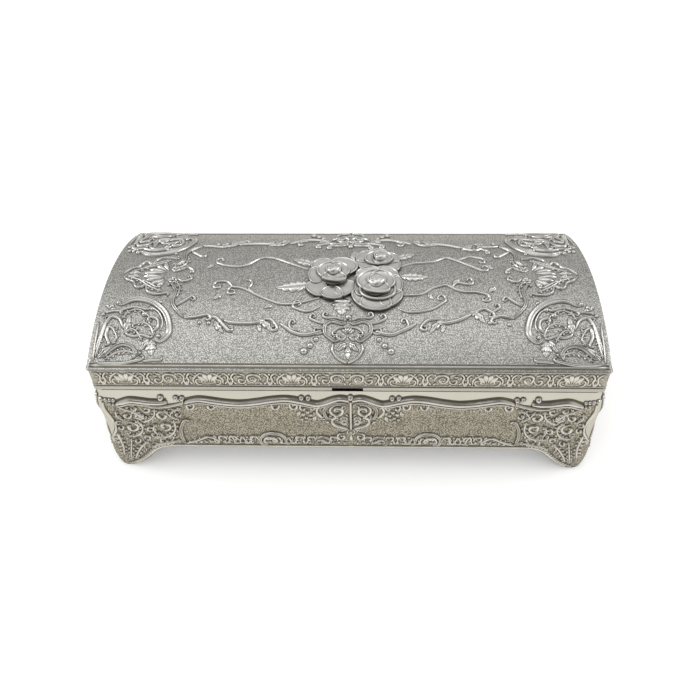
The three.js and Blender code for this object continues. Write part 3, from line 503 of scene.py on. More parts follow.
# The garland of ribbons along the front of the dome, and its pendant cartouche
GARLAND = dict(
    stroke=[
        ([-57, -20.8, -53, -20.4, -49.1, -19.4], 1.2, 0.8, 0, -0.7, 1.5),
        ([-48.6, -20.2, -45.6, -20.6, -43.4, -23, -41, -25.6], 1.4, 0.85, 0, 0.5),
        ([-43, -21.6, -40.1, -22.6, -35, -22.9, -29.9, -22.5], 1.3, 0.85, 0, 0, 0, ROUND, (0.4, 0.7)),
        ([-29, -21.2, -26.4, -21.4, -24.4, -24], 1.1, 0.8, 0, -0.9, 1.3),
        ([-23.4, -22.8, -21, -24.6, -18.5, -26.4, -14.2, -27.3, -9, -25.9],
         1.4, 0.9, 0, 0, 0, ROUND, (0.4, 0.7)),
        ([-16.6, -26, -19.6, -24.8, -20.2, -22.6], 0.92, 0.7, 0, -0.8, 1.2),
        ([57, -20.6, 52.6, -19.6, 49.8, -20.4], 1.2, 0.8, 0, 0.7, 1.4),
        ([31, -22.6, 33.2, -22.6, 37.7, -21.4, 42.7, -18.8], 1.3, 0.85, 0, 0, 0, ROUND, (0.7, 0.4)),
        ([42.7, -18.6, 46.8, -16.6, 50, -18.2], 1.1, 0.8, 0, -0.8, 1.3),
        ([49, -18.6, 52.4, -16.2], 0.92, 0.7, 0, 0.7, 1.2),
        ([31.4, -21, 27.5, -21.4, 25.2, -23.6], 1.1, 0.8, 0, 0.9, 1.3),
        ([23.6, -22.6, 21.3, -24.2, 17.8, -25.9, 14.4, -27.2, 9.6, -25.9],
         1.4, 0.9, 0, 0, 0, ROUND, (0.4, 0.7)),
        ([17.6, -25.6, 20.6, -23.8, 20.4, -21.6], 0.92, 0.7, 0, 0.8, 1.2),
    ],
    leaf=[
        ([-46, -21.6, -42.4, -26.6], 2.6, 3, -0.15), ([-31.4, -21.4, -26, -26.2], 3, 3, 0.2),
        ([-31, -22.8, -29.8, -26.4], 2, 2), ([42.4, -17.4, 46.8, -22.4], 3.4, 3, 0.15),
        ([33.4, -21.6, 28.2, -26.4], 3, 3, -0.2), ([33, -22.6, 32.2, -26.4], 2, 2),
        ([0.2, -31.4, 0.2, -36.4], 2.6, 2),
    ],
    ball=[(-51.2, -22.6, 0.8), (-48, -22.8, 0.8), (55.2, -23, 0.8), (48.6, -22.4, 0.8), (0.2, -20.2, 1.15)],
    fan=[(0.2, -27.6, 3.4, 50, 130, 5, 0.8)],
)
GARLAND_SIDES = dict(
    stroke=[
        ([1.2, -21.6, 3.6, -20.8, 6, -20.8, 8, -20.4], 0.84, 0.8, 0, 0.9, 1.2),
        ([2, -23, 5.4, -22, 7.8, -23.6, 7.6, -27, 4.8, -29.4], 1.3, 0.95, 0.4, -0.9, 1.3, GROOVED),
        ([0.8, -24.6, 3.2, -24.6, 5, -26.2], 0.84, 0.8, 0, -0.9, 1),
        ([6.6, -23.2, 10, -22.4, 12.6, -21.2], 0.92, 0.8, 0, 0.9, 1.3),
        ([7.4, -24.6, 9.8, -25, 12, -24.2], 0.76, 0.7),
        ([8, -26.2, 10.4, -27, 11.4, -26], 0.76, 0.7, 0, 0.6, 0.9),
        ([4.8, -30.4, 5.1, -33, 3.4, -35.8, 0.2, -37.6], 0.84, 0.9, 0, 0, 0, ROUND, (0.5, 0.9)),
        ([0.3, -27.8, 1.8, -29.2, 3.4, -28.6], 0.84, 0.8, 0, 0.7, 0.9),
    ],
    leaf=[([0.4, -30.2, 3.6, -33.4], 2.4, 2)],
    ball=[(10.7, -29, 0.95), (12.6, -31.3, 1.1), (14.7, -33.3, 1.3)],
)

# The scrollwork of a quarter of the dome: the right end in front, with half the shell in its middle
DOME_END = dict(
    acanthus=[
        ([66.4, -28.2, 67.6, -24.8, 70.4, -22.8, 73.6, -23.4], 2, 5, -0.5, 0.7),
        ([77, -27.2, 74.4, -25.4, 72.2, -26.6, 70, -30], 1.9, 5, 0, 0.7),
        ([70.6, -35.4, 74, -33.8, 78, -34.2, 82, -36.8], 1.9, 6, 0, 0.7),
        ([84.6, -19.6, 83.6, -23.6, 84.4, -30, 85.2, -36], 1.7, 7, 0, 0.7),
        ([78.4, -21.4, 76.6, -18.4, 73, -17.4, 69.4, -19.8], 1.7, 5, 0.5, 0.7),
        ([80.2, -31.4, 79, -28.4, 80.6, -25.6], 1.6, 3, 0.4, 0.7),
        ([79.6, -1.6, 75.4, -3.4, 71.4, -6.6, 66.6, -9], 1.9, 7, 0, 0.7),
        ([62.6, -3.6, 60.4, -7, 60.6, -11], 1.6, 4, 0.5, 0.7),
    ],
    stroke=[
        ([79.2, -15, 76.5, -13.2, 73.1, -12.8, 68.3, -14.4, 63.8, -18.5, 61.6, -23.6, 61.6, -27.4,
         63.4, -29.6], 2.1, 0.9, -0.3, 0.6, 1.4, GROOVED),
        ([70, -15.6, 66, -18.4, 64, -22.4, 64.4, -26], 0.67, 0.6),
        ([70.4, -17.4, 74.6, -16.4, 78.8, -17.6], 0.92, 0.8, 0.5, -0.5, 1.2),
        ([68, -20.6, 65.8, -21.6, 65.6, -24.6, 67.2, -27], 1, 0.85, 0.7, 0, 1.1),
        ([67.6, -28.6, 70.4, -27.6, 73, -28.2, 75.6, -27.4], 1, 0.8, 0.5, 0.5),
        ([77.4, -24.6, 79.2, -21.4, 82.1, -20.5, 83.9, -23.6, 84.6, -28.4, 85.4, -33.6], 1.1, 0.85, 0.5),
        ([80.4, -25.6, 82.4, -24.4, 82.8, -27.6, 81.4, -30.6], 1.1, 0.8, 0.4, 0.4, 0.9),
        ([71.6, -34.6, 73.2, -32.2, 76.6, -31.2, 79.6, -32.6, 82, -35.4], 1.3, 0.85, 0.4, 0.5, 0, GROOVED),
        ([63, -36.7, 66.1, -36.9, 69.1, -37.3], 0.84, 0.7, 0.4, 0, 0.8),
        ([69.4, -36.6, 75.6, -38, 80, -38.1, 84.4, -38], 1.1, 0.8, 0.5),
        ([86.2, -22.6, 86, -30, 85.9, -37.4], 0.67, 0.55),
        ([78.6, -18.2, 81.4, -18, 84.6, -18.8], 0.84, 0.7),
        ([82.6, -0.2, 80.4, -2.9, 77.7, -4.2, 76.6, -6.5, 74.7, -7.3, 72.9, -5.9, 71.9, -8.8,
         69.6, -10.2, 67, -10.4, 64.6, -9.8], 0.92, 0.85, 0, 0.5),
        ([63.4, -5.6, 61.4, -9, 62, -12.8, 61, -16, 57, -20.7], 1.2, 0.85, 0.4, 0, 0, GROOVED),
        ([60.4, -15.6, 58, -13.6, 55.8, -11.6], 0.92, 0.8, 0, 0.8, 1.2),
        ([69, -7, 72.4, -4.6, 75.8, -3], 0.76, 0.7, 0.7, 0, 1),
        ([62.6, -2, 59.6, -4, 57.2, -2.6], 0.84, 0.75, 0, -0.8, 1),
    ],
    ball=[(66, -14, 0.7), (68.4, -17, 0.9), (70.8, -19.3, 1.1), (85.3, -19.4, 0.7)],
    leaf=[
        ([76.4, -26.4, 75.8, -19.8], 2.8, 2), ([66.8, -29.4, 66.2, -35.2], 4.4, 3, 0.1),
        ([68, -28.8, 70.6, -33.6], 2.4, 2, -0.1), ([80.6, -31.8, 84.6, -36.4], 2.6, 2),
        ([71.6, -32.8, 72.4, -36.6], 2, 2), ([76, -1, 80.6, -0.9], 2.2, 2),
    ],
    ray=[(83.6, -17.2, turn, 0, 2.4, 1.3, 0.8) for turn in (60, 120, 180)]
    + [(65.6, -1.4, turn, 1.6, far, 2, 0.8) for turn, far in ((-12, 8.2), (-36, 7.4), (-60, 6), (4, 9.4))],
    rosette=[(63.6, -3.2, 1.7)],
)

EDGE_INSET = 1
EDGE_RISE = 1.3


def dome_ends(pen):
    for half in (pen, pen.mirrored()):
        for quarter in (half, half.fore_and_aft()):
            quarter.draw(DOME_END)


def dome_middle(pen):
    low = EDGE_RISE - HALF_ARC
    edge = even([EDGE_INSET - HALF_L, low, HALF_L - EDGE_INSET, low], 4)
    for side in (pen, pen.fore_and_aft()):
        side.draw(GARLAND, GARLAND_SIDES)
        # A flat dark strip wider than the edge bead: painted shade along both its sides
        side.sweep(edge, 0.75, 0, SHADOW_STRIP)
        side.sweep(edge, 0.3, 0.35)
    for path, turns in TENDRILS:
        pen.stroke(path, 0.95, 0.62, 0, turns, 2, ROUND, (0.6, 0.5))
    pen.draw({"leaf": TENDRIL_LEAVES})


# Frieze of the lid: its motifs are drawn around their own middle, 6.2 mm high
FRIEZE_LOW = 2.7
FRIEZE_HIGH = 1
FRIEZE_END = 2.2
FRIEZE_SCROLL = dict(
    scroll=[(-1, 0, 2.7, 210, -400, 0.9, 0.5), (2.9, -0.8, 1.6, 150, 330, 0.75, 0.45)],
    rosette=[(-1, 0, 1.2, 5, 0.5)],
    drop=[
        ([1.2, 1.4, 3.4, 2.8], 0.85, 0.45), ([2.4, 0.9, 4.4, 1.6], 0.85, 0.45),
        ([-3, -1.4, -4, -2.9], 0.85, 0.45), ([-3.2, 1.4, -4, 2.9], 0.85, 0.45),
        ([1.2, -2.2, 2, -3], 0.85, 0.45), ([-3.6, 0, -4.5, 0.2], 0.85, 0.45),
    ],
)
FRIEZE_CROSS = dict(
    ball=[(0, 0.1, 0.5)],
    drop=[([0, 1.2, 0, 3], 0.9, 0.45), ([0, -1, 0, -3], 0.9, 0.45)],
)
FRIEZE_CROSS_SIDES = dict(
    stroke=[([0.2, -2.9, 0.9, -0.9, 0.5, 1, 1.7, 2.8], 0.75, 0.5, 0.4, -0.4, 0.6)],
    drop=[([0.9, -0.9, 2.1, -2.9], 0.85, 0.45), ([1.1, 0.4, 2.2, 1.4], 0.8, 0.45)],
)
FRIEZE_FAN = dict(
    fan=[(0, -3, 5.6, 55, 125, 4, 0.5)],
)
FRIEZE_FAN_SIDES = dict(
    scroll=[(2.9, -1.3, 1.7, 250, 330, 0.75, 0.5)],
    stroke=[([4.9, -2.9, 5, -0.4, 3.8, 1.4, 2.2, 2.8], 0.75, 0.5, 0, 0.4, 0.6)],
    drop=[([4.2 - 0.3 * lift, lift - 0.9, 5.6 - 0.5 * lift, lift + 0.3], 0.8, 0.45)
          for lift in (0.6, 1.7, 2.8)],
)
# The run of motifs, each with its length
FRIEZE_CROSS_STEP = (FRIEZE_CROSS, FRIEZE_CROSS_SIDES, 4.2)
FRIEZE_CYCLE = [
    (FRIEZE_SCROLL, {}, 8.4), FRIEZE_CROSS_STEP, (FRIEZE_FAN, FRIEZE_FAN_SIDES, 9.8), FRIEZE_CROSS_STEP,
]


def frieze(pen, side):
    middle = LID_BOTTOM + FRIEZE_LOW + (LID_WALL_HEIGHT - FRIEZE_LOW - FRIEZE_HIGH) / 2 - 0.1
    span = half_of(side) - FRIEZE_END
    cycle = sum(pitch for _, _, pitch in FRIEZE_CYCLE)
    rounds = max(1, round(span / cycle))
    for half in (pen, pen.mirrored()):
        at = 0
        for forms, paired_forms, pitch in FRIEZE_CYCLE * rounds:
            pitch *= span / (rounds * cycle)
            half.local(at + pitch / 2, middle).draw(forms, paired_forms)
            at += pitch


# Base ornament

RAIL = [
    0.6, 37.9, 3.4, 38.5, 6, 37.9, 9, 36.7, 11.3, 36.1, 13.4, 36.4, 17, 37.3, 21.9, 38.2, 27, 37.8,
    32, 36.9, 37.8, 36.2, 43, 36.5, 47, 37.1, 52, 37.8, 55.4, 37.2, 57.4, 36.5,
]
SHORT_RAIL_POINTS = 6
RAIL_END = [24.4, 36.6, 21.4, 36.4, 18.3, 36.5, 15, 37, 11.6, 37.3, 8.6, 36.4, 6.4, 35.6]
RAIL_WIDTH = 1.9
RAIL_HEIGHT = 1.35
# How far up the rail's painted shadow strip is set
RAIL_SHADOW_RISE = 0.12
BORDER_RISE = 2.5
CENTRE_SHIFT = 1

# The balls, curls and bead sprays that hang on half of the long rail
FRONT_HALF = dict(
    ball=[
        (14.6, 38.6, 1, 1.35), (16.9, 38.7, 1, 1.35), (58.2, 38.2, 1, 1.35), (60.3, 38.3, 1, 1.35),
        (15, 32.2, 0.8, 0.7), (16.6, 31, 0.9, 0.7), (14, 30.6, 0.7, 0.7), (15.6, 29, 0.75, 0.7),
        (17.2, 28.2, 0.7, 0.7), (14.2, 28.4, 0.6, 0.7), (15.8, 27, 0.6, 0.7), (12.6, 31.8, 0.6, 0.7),
    ],
    scroll=[
        (19.6, 35.2, 1.7, 100, -430, 0.85, 0.7), (56, 34.8, 1.7, 80, 430, 0.85, 0.7),
        (26.4, 35, 1.7, 150, 250, 0.9, 0.7), (28.4, 35.4, 1.2, 120, 160, 0.7, 0.6),
        (48.8, 34.9, 1.7, 170, 220, 0.9, 0.7), (46.6, 35.4, 1.2, 20, -160, 0.7, 0.6),
        (13.4, 34.6, 1.5, 40, 300, 0.85, 0.7), (16.4, 34.4, 1.6, 150, -300, 0.85, 0.7),
    ],
    leaf=[([17.8, 32.6, 18.8, 29.4], 1.7, 2, 0, 0.6), ([12.4, 29.8, 13.4, 26.6], 1.7, 2, 0, 0.6)],
)

# The lyre of scrolls in the middle of the front, below the thumb slot
CARTOUCHE = dict(
    sweep=[(even([0, 37.6, 0, 22.6], STEP), 0.5, 0.9)],
    ball=[(0, 38.9, 1.15, 1.5), (0, 20.9, 0.8, 0.9)],
    stroke=[(arc((0, 20.9), (1.3, 1.3), 90, 450), 0.6, 0.6)],
    drop=[([0, 19.2, 0, 15.8], 1.4, 0.7)],
)
CARTOUCHE_SIDES = dict(
    stroke=[
        ([1, 36.2, 3.6, 36.7, 6.3, 36.5, 8.3, 35.2, 9.3, 33, 8.6, 29.8], 1.2, 0.95, 0, -0.7, 1.2, GROOVED),
        ([9.4, 36.6, 11.2, 34.8, 11.8, 32.2, 10.4, 29.8], 1, 0.8, 0, -0.5),
        (arc((2.2, 33.6), (0.9, 1.9), 110, -80), 0.7, 0.7),
        ([6.2, 28.9, 6.7, 26.6, 5.7, 24.9, 3.4, 23.8, 0.8, 22.4], 1.1, 0.9, -0.6, 0, 1.1),
    ],
    scroll=[
        (4.6, 33, 2.9, 120, -470, 1, 0.9), (6.6, 29.4, 1.6, 60, 300, 0.9, 0.8),
        (3.4, 18.2, 1.8, 130, -420, 0.85, 0.75),
    ],
    rosette=[(2.4, 28.4, 1.6)],
    leaf=[([1, 24.6, 4.4, 27.2], 1.9, 2, 0, 0.7)],
    drop=[
        ([1.2, 21.6, 3.4, 22.4], 1, 0.6), ([0.5, 29.6, 1.9, 31.3], 0.7, 0.55),
        ([0.5, 27.6, 1.9, 29.3], 0.7, 0.55), ([0.5, 25.6, 1.9, 27.3], 0.7, 0.55),
        ([7.2, 25.4, 9.2, 27.4], 1, 0.65), ([8.4, 28.6, 10, 28], 0.9, 0.6),
    ],
)

# Motifs of the running border on their own base line: a scrolled arch with a leaf fringe, and a spray
BORDER_ARCH = dict(
    stroke=[
        (arc((0, 1.2), (4.2, 3.6), 190, -20), 1.1, 0.75, 0.5, -0.7, 1.3, GROOVED),
        ([-1.6, 0.2, -0.2, 2.4, 2, 2.6, 3, 1], 0.9, 0.65, 0, -0.6, 0.9),
    ],
    fan=[(1, 0.4, 2.4, 60, 170, 4, 0.6)],
    ball=[(-2.6, 0.4, 0.7)],
)
BORDER_SPRAY = dict(
    stroke=[([-7, -0.4, -2, 1.6, 2.8, 3.8, 6.4, 1.4], 1.1, 0.75, 0.3, -0.7, 1.2)],
    drop=[([2.1 * k - 4.4, 0.8 + 0.5 * k, 2.1 * k - 2.6, 0.2 * k - 0.8], 0.9, 0.6) for k in range(5)]
    + [([2.1 * k - 4, 1 + 0.55 * k, 2.1 * k - 3.4, 3 + 0.4 * k], 0.8, 0.55) for k in range(5)],
)

# The dense scrollwork of a corner and its foot, in distance inwards from the end of the face and height
FOOT_CORNER = dict(
    ball=[(22.4, 38.4, 1.15, 1.5)] + [(5.8 - 1.3 * k, 37.2 + 0.1 * k, 0.72, 1) for k in range(4)]
    + [(8.2 - 1.35 * k, 34.9 + 0.25 * k, 0.6, 0.8) for k in range(4)],
    stroke=[
        ([29.6, 36.2, 26.4, 35.2, 22.6, 34.5, 19, 34.5, 15.6, 35.4], 1, 0.9, -0.6),
        ([28.6, 26.6, 26.9, 22.6, 26.5, 18.2, 27.2, 14.2], 1.3, 0.95, 0.6, 0, 1.2, GROOVED),
    ],
    acanthus=[
        ([6.6, 34.6, 9.6, 33.2, 12.4, 31.4, 14.2, 28.6], 2.3, 5, 0.5),
        ([19.4, 33.6, 19, 30.6, 17.2, 28, 14.6, 26.4], 2, 5, -0.5),
        ([11, 27, 12.9, 24.4, 12.7, 21.2, 10.6, 18.6, 7.6, 18.2], 2.1, 6, -0.5),
        ([25, 27.4, 24.9, 22.6, 23.2, 19.2, 19.8, 17.4, 16.2, 17.8], 2.2, 7, -0.6),
        ([26, 15.8, 21.6, 14.7, 17.2, 13.6, 14, 11.4], 1.9, 6),
        ([2.9, 19.6, 3.5, 16, 3.7, 12, 3.2, 7.4], 2, 6),
        ([13.6, 15.2, 10.8, 12.4, 8.4, 8.8, 6.6, 4.6], 2.2, 6),
        ([7.6, 16.6, 6.8, 12.6, 6, 9, 5, 3.6], 1.8, 6), ([29, 33.8, 26, 32.6, 24.4, 30.4], 1.7, 3, 0.4),
        ([5.6, 32.4, 5.4, 29.6, 6.8, 27.4], 1.5, 3, 0.5), ([18.6, 24.6, 16.8, 22.6, 17.2, 20], 1.7, 3, 0.5),
        ([22.6, 33.2, 25, 29.2, 27.2, 27.4], 1.5, 3),
    ],
    scroll=[
        (21.8, 29.8, 2.4, 60, 330, 1.1), (9.2, 23, 2.7, 100, -330, 1.2), (21.2, 23.4, 2.3, 250, 340, 1.1),
        (15.6, 21.6, 1.7, 330, 300, 0.9), (16.6, 33.2, 1.5, 200, 300, 0.85), (9, 29.8, 1.6, 40, -320, 0.9),
        (12.4, 33.6, 1.2, 160, 250, 0.8), (27.2, 30.6, 1.2, 20, -300, 0.8),
        (13.4, 17.2, 1.5, 250, 300, 0.85), (19, 15.6, 1.2, 10, 260, 0.8), (9.6, 15.4, 1.3, 60, -300, 0.8),
        (5, 22.6, 1.2, 60, -280, 0.8), (22.6, 17, 1.2, 180, -250, 0.8), (4.9, 25.4, 1.1, 20, 300, 0.8),
    ],
    rosette=[
        (13.4, 29.2, 1.9, 6, 1), (18.4, 18.6, 1.3, 6, 1), (7.2, 20.2, 1.2, 6, 1), (11.4, 10.8, 1, 6, 1),
        (5.4, 6.4, 1, 6, 1),
    ],
)

# A small shell between the corners of an end wall
END_MIDDLE = dict(
    fan=[(0, 21, 8.4, 20, 160, 9, 0.9)],
    ball=[(0, 39.3, 1.1, 1.4)],
    rosette=[(0, 20.2, 1.8, 6, 1)],
    drop=[([0, 18.8, 0, 14.6], 1.8, 0.8)],
)
END_MIDDLE_SIDES = dict(
    stroke=[
        ([1.4, 21, 5.2, 20.4, 8.4, 23, 8, 26.6], 1.3, 0.9, 0, 0.9, 1.3),
        ([1, 19.4, 3.6, 17.4, 6.6, 17.6], 1.1, 0.8, 0, 0.9, 1.1),
    ],
    drop=[([3.6, 33.4, 7, 35.6], 1.2, 0.7)],
)

# Where the plain edge of a corner ends, as distance from the end of the face and height
CORNER_EDGE = [2.2, 36.4, 2.2, 33, 2.9, 29, 3.5, 25, 3.2, 21.5, 2.2, 18.5, 1.2, 15.5, 0.5, 13]


def leaned(place):
    """The front's ornament stands a little to the right of the middle."""
    return lambda u, v, h: place(np.asarray(u) + CENTRE_SHIFT * (1 - np.abs(u) / HALF_L), v, h)


def double_rail(pen, points, ends):
    """The wavy rail with its lower strand, over a thin dark strip set a little higher: a painted shadow
    along the rail's upper edge.
    """
    pen.sweep(through(points) + np.array([0, RAIL_SHADOW_RISE]), RAIL_WIDTH * 0.66, 0, SHADOW_STRIP)
    pen.stroke(points, RAIL_WIDTH, RAIL_HEIGHT, ends=ends)
    lower = np.reshape(points, (-1, 2))[2:] - np.array([0, 0.75 * RAIL_WIDTH])
    pen.stroke(lower, 0.55 * RAIL_WIDTH, 0.85, ends=(0.4, 0.4))


def border_comb(pen):
    for k in range(4):
        tooth = pen.local(-3.3 + 2.2 * k, 0, flip=1 if k % 2 else -1)
        tooth.stroke([0.2, -0.6, 0.1, 1.6, 0.9, 3.4], 0.8, 0.6, 0, -0.4, 0.7)
        tooth.drop([0.2, 0.6, -0.9, 2.8], 0.8, 0.55)
    pen.stroke([-4.2, -0.4, 0, 0.3, 4.2, -0.4], 0.8, 0.6)


def border(pen):
    """The running border along the bottom of the front, from its middle outwards."""
    low = APRON + BORDER_RISE
    for u in (6.6, 14.6, 19, 35.6, 43.4, 47.2):
        pen.scroll(u, low + 2.2, 1.9, 230, -300, 0.85, 0.7)
        pen.scroll(u + 2.2, low + 1, 1.1, 130, 270, 0.7, 0.6)
        pen.drop([u + 1.6, low + 2.2, u + 2.9, low + 3.6], 0.8, 0.55)
        pen.drop([u - 1.8, low + 2.4, u - 2.4, low + 4], 0.8, 0.55)
    for u, size in ((10.4, 0.72), (28.4, 1.12)):
        pen.local(u, low, size).draw(BORDER_ARCH)
    for u, size in ((22.8, 0.8), (39.6, 0.9)):
        border_comb(pen.local(u, low, size))
    pen.local(54, low, 0.85, -1).draw(BORDER_SPRAY)
    for k in range(28):
        pen.ball(2.4 + 2.1 * k, low + 0.2 + 0.3 * (k % 2), 0.55, 0.5)


TOE_BEND_SHARE = 0.44
TOE_RISE_SHARE = 0.5
ROOT_BEND_SHARE = 0.33


def apron_line(half):
    """The apron's lower edge from the middle of a face to the toe, as points."""
    toe, root = half - FOOT_TOE, half - FOOT_LENGTH
    a, b, c, d = np.array([(toe, 0), (toe - FOOT_LENGTH * TOE_BEND_SHARE, APRON * TOE_RISE_SHARE),
                           (toe - FOOT_LENGTH * ROOT_BEND_SHARE, APRON), (root, APRON)])
    t = np.linspace(1, 0, 25)[:, None]
    curve = (1 - t) ** 3 * a + 3 * t * (1 - t) ** 2 * b + 3 * t**2 * (1 - t) * c + t**3 * d
    return np.vstack([[(0, APRON)], curve])


def foot_corner(pen):
    double_rail(pen, RAIL_END, (0.6, 0.5))
    pen.stroke(CORNER_EDGE[:-2], 0.8, 0.7, ends=(0.6, 0.3))
    pen.draw(FOOT_CORNER)
    for u, v in even(apron_line(HALF_L)[1:], 1.25):
        inwards = HALF_L - u
        if 2.2 < inwards < 22:
            pen.drop([inwards + 0.5, v + 0.9, inwards - 0.7, v + 2.4], 1, 0.7)


def base_ornament(pen, side):
    half = half_of(side)
    long = half == HALF_L
    for way in (pen, pen.mirrored()):
        foot_corner(way.from_end(half))
        way.sweep(even(apron_line(half)[:-1], 1) + np.array([0, 0.75]), 0.55, 0.4)
        double_rail(way, RAIL if long else RAIL[:2 * SHORT_RAIL_POINTS], (0.9, 0.6))
        if long:
            way.draw(FRONT_HALF)
            border(way)
    pen.draw(*((CARTOUCHE, CARTOUCHE_SIDES) if long else (END_MIDDLE, END_MIDDLE_SIDES)))


# Meshes

def make_object(name, points, faces, crests=None):
    mesh = bpy.data.meshes.new(name)
    mesh.from_pydata((np.asarray(points) * MM).tolist(), [], faces)
    shape = bmesh.new()
    shape.from_mesh(mesh)
    bmesh.ops.recalc_face_normals(shape, faces=shape.faces)
    shape.to_mesh(mesh)
    shape.free()
    mesh.polygons.foreach_set("use_smooth", [True] * len(mesh.polygons))
    if crests is not None:
        layer = mesh.attributes.new("crest", "FLOAT", "POINT")
        layer.data.foreach_set("value", np.asarray(crests, np.float32))
    piece = bpy.data.objects.new(name, mesh)
    bpy.context.scene.collection.objects.link(piece)
    return piece


COLUMN_WIDTH = 1.6
CUT_WIDTH = 0.06


def outline(radius, cuts):
    """Points round the box, their directions out, and their spots: the side and the place along it. cuts
    has the places on a side where something is cut, which get a column on each side of the cut's edge."""
    base, normal, spots = [], [], []
    for side in SIDES:
        half, reach = half_of(side), reach_of(side)
        out, along = facing(side)
        columns = [*np.linspace(radius - half, half - radius, 2 * int(half / COLUMN_WIDTH) + 1)]
        for u in cuts.get(side, ()):
            columns += [u - CUT_WIDTH, u + CUT_WIDTH]
        for u in np.unique(np.round(columns, 4)):
            base.append(along * u + out * reach)
            normal.append(out)
            spots.append((side, u))
        for turn in np.linspace(0, 90, 9)[1:-1]:
            c, s = aim(turn)
            normal.append(out * c + along * s)
            base.append(along * (half - radius) + out * (reach - radius) + normal[-1] * radius)
            spots.append(("corner", 0))
    return np.array(base), np.array(normal), spots


def strip_faces(low, high, sides):
    """Faces between two closed rings, given their first points."""
    return [(low + i, low + (i + 1) % sides, high + (i + 1) % sides, high + i) for i in range(sides)]


def loft_faces(rows, sides, first=0):
    faces = []
    for start in range(first, first + (rows - 1) * sides, sides):
        faces += strip_faces(start, start + sides, sides)
    return faces


# Lid wall from the bottom up: height above the lid's lower edge and reach beyond its outline
LID_PROFILE = [
    (0, 0), (0.1, 0.18), (0.3, 0.28), (0.7, 0.3), (1.1, 0.29), (1.5, 0.25), (1.8, 0.15), (1.95, 0),
    (2.1, -0.14), (2.25, 0), (2.4, 0.16), (2.6, 0.2), (2.8, 0.14), (2.95, 0), (3.05, -0.1), (3.1, 0),
    (9.2, 0), (9.25, -0.14), (9.35, -0.14), (9.45, 0.3), (9.55, 0.46), (9.75, 0.5), (9.95, 0.42),
    (10.15, 0.2), (10.2, 0),
]
ROOF_FILLET = 0.7
ROOF_STEPS = 5
ROOF_EDGE_STEP = 0.15

# Half the length that the lid's knuckle takes at a hinge, and the length of each of the base's there
LID_KNUCKLE_REACH = LID_KNUCKLE_LENGTH / 2 + KNUCKLE_GAP / 2
BASE_KNUCKLE_SPACE = KNUCKLE_LENGTH + 1.5 * KNUCKLE_GAP


def hinge_edges(*reaches):
    return [HINGE_SPREAD * end + side * reach for end in (-1, 1) for side in (-1, 1) for reach in reaches]


def in_hinge(u, lid_part):
    """Whether a place along the back lies where the lid's knuckle turns, or where the base's two do."""
    off = abs(abs(u) - HINGE_SPREAD)
    if lid_part:
        return off < LID_KNUCKLE_REACH
    return LID_KNUCKLE_REACH < off < LID_KNUCKLE_REACH + BASE_KNUCKLE_SPACE


def dome_height(y, radius):
    return DOME_CENTRE + np.sqrt(np.maximum(radius**2 - np.asarray(y) ** 2, 0))


def lid_shell():
    cuts = {"front": (-THUMB_HALF, THUMB_HALF),
            "back": hinge_edges(LID_KNUCKLE_REACH, LID_KNUCKLE_REACH + BASE_KNUCKLE_SPACE)}
    base, normal, spots = outline(LID_CORNER, cuts)
    sides = len(base)
    straight = np.abs(normal[:, 1]) > 0.99
    profile_heights, profile_reaches = zip(*LID_PROFILE)
    heights = np.unique([*profile_heights, THUMB_HEIGHT])
    outer = []
    for h, reach in zip(heights, np.interp(heights, profile_heights, profile_reaches)):
        out = np.full(sides, reach)
        for i, (side, u) in enumerate(spots):
            if side == "front" and abs(u) < THUMB_HALF and h < THUMB_HEIGHT:
                out[i] = -THUMB_DEPTH
            if side == "back" and h <= KNUCKLE_RADIUS and in_hinge(u, False):
                out[i] = -HINGE_RECESS
        outer.append(np.c_[base + normal * out[:, None], np.full(sides, LID_BOTTOM + h)])
    for k in range(ROOF_STEPS):
        across, down = 1 - aim(90 * k / (ROOF_STEPS - 1))
        inset = np.where(straight, ROOF_EDGE_STEP * k, ROOF_FILLET * across)
        flat = base - normal * inset[:, None]
        top = dome_height(flat[:, 1], DOME_RADIUS) - np.where(straight, 0, ROOF_FILLET * down)
        outer.append(np.c_[flat, np.maximum(top, LEDGE_TOP)])
    flat = base - normal * LID_WALL
    inside_height = dome_height(flat[:, 1], DOME_RADIUS - LID_WALL) - LID_BOTTOM
    inner = [np.c_[flat, LID_BOTTOM + inside_height * share] for share in (0, 0.35, 0.7, 1)]
    points, faces, starts = [], [], []
    for rings, radius in ((outer, DOME_RADIUS), (inner, DOME_RADIUS - LID_WALL)):
        first = len(points)
        starts.append(first)
        points += [p for ring in rings for p in ring]
        roof, roof_faces = roof_net(rings[-1], spots, len(points) - sides, len(points), radius)
        points += roof
        faces += loft_faces(len(rings), sides, first) + roof_faces
    return points, faces + strip_faces(*starts, sides)


def roof_net(ring, spots, start, first, radius):
    """Closes a ring with strips across the dome. Each strip joins a left and a right ring point of like y.
    start is the number of the ring's first point, and first that of the first new point."""
    x, y = ring[:, 0], ring[:, 1]

    def on(sides, key):
        return sorted((i for i, (side, _) in enumerate(spots) if side in sides), key=key)

    right = [i for i in on(("right", "corner"), lambda i: y[i]) if x[i] > 0]
    left = [i for i in on(("left", "corner"), lambda i: i) if x[i] < 0]
    front, back = (on((side,), lambda i: x[i]) for side in ("front", "back"))
    share, back_share = ((x[row] - x[row[0]]) / (x[row[-1]] - x[row[0]]) for row in (front, back))
    points, grid = [], [[start + i for i in front]]
    for i in right:
        j = min(left, key=lambda k: abs(y[k] - y[i]))
        line = ring[j, :2] + (ring[i, :2] - ring[j, :2]) * share[1:-1, None]
        grid.append([start + j, *(first + len(points) + k for k in range(len(line))), start + i])
        points += [*np.c_[line, dome_height(line[:, 1], radius)]]
    faces = []
    for a, b in zip(grid, grid[1:]):
        faces += [(a[k], a[k + 1], b[k + 1], b[k]) for k in range(len(a) - 1)]
    return points, faces + zip_rows(grid[-1], share, [start + i for i in back], back_share)


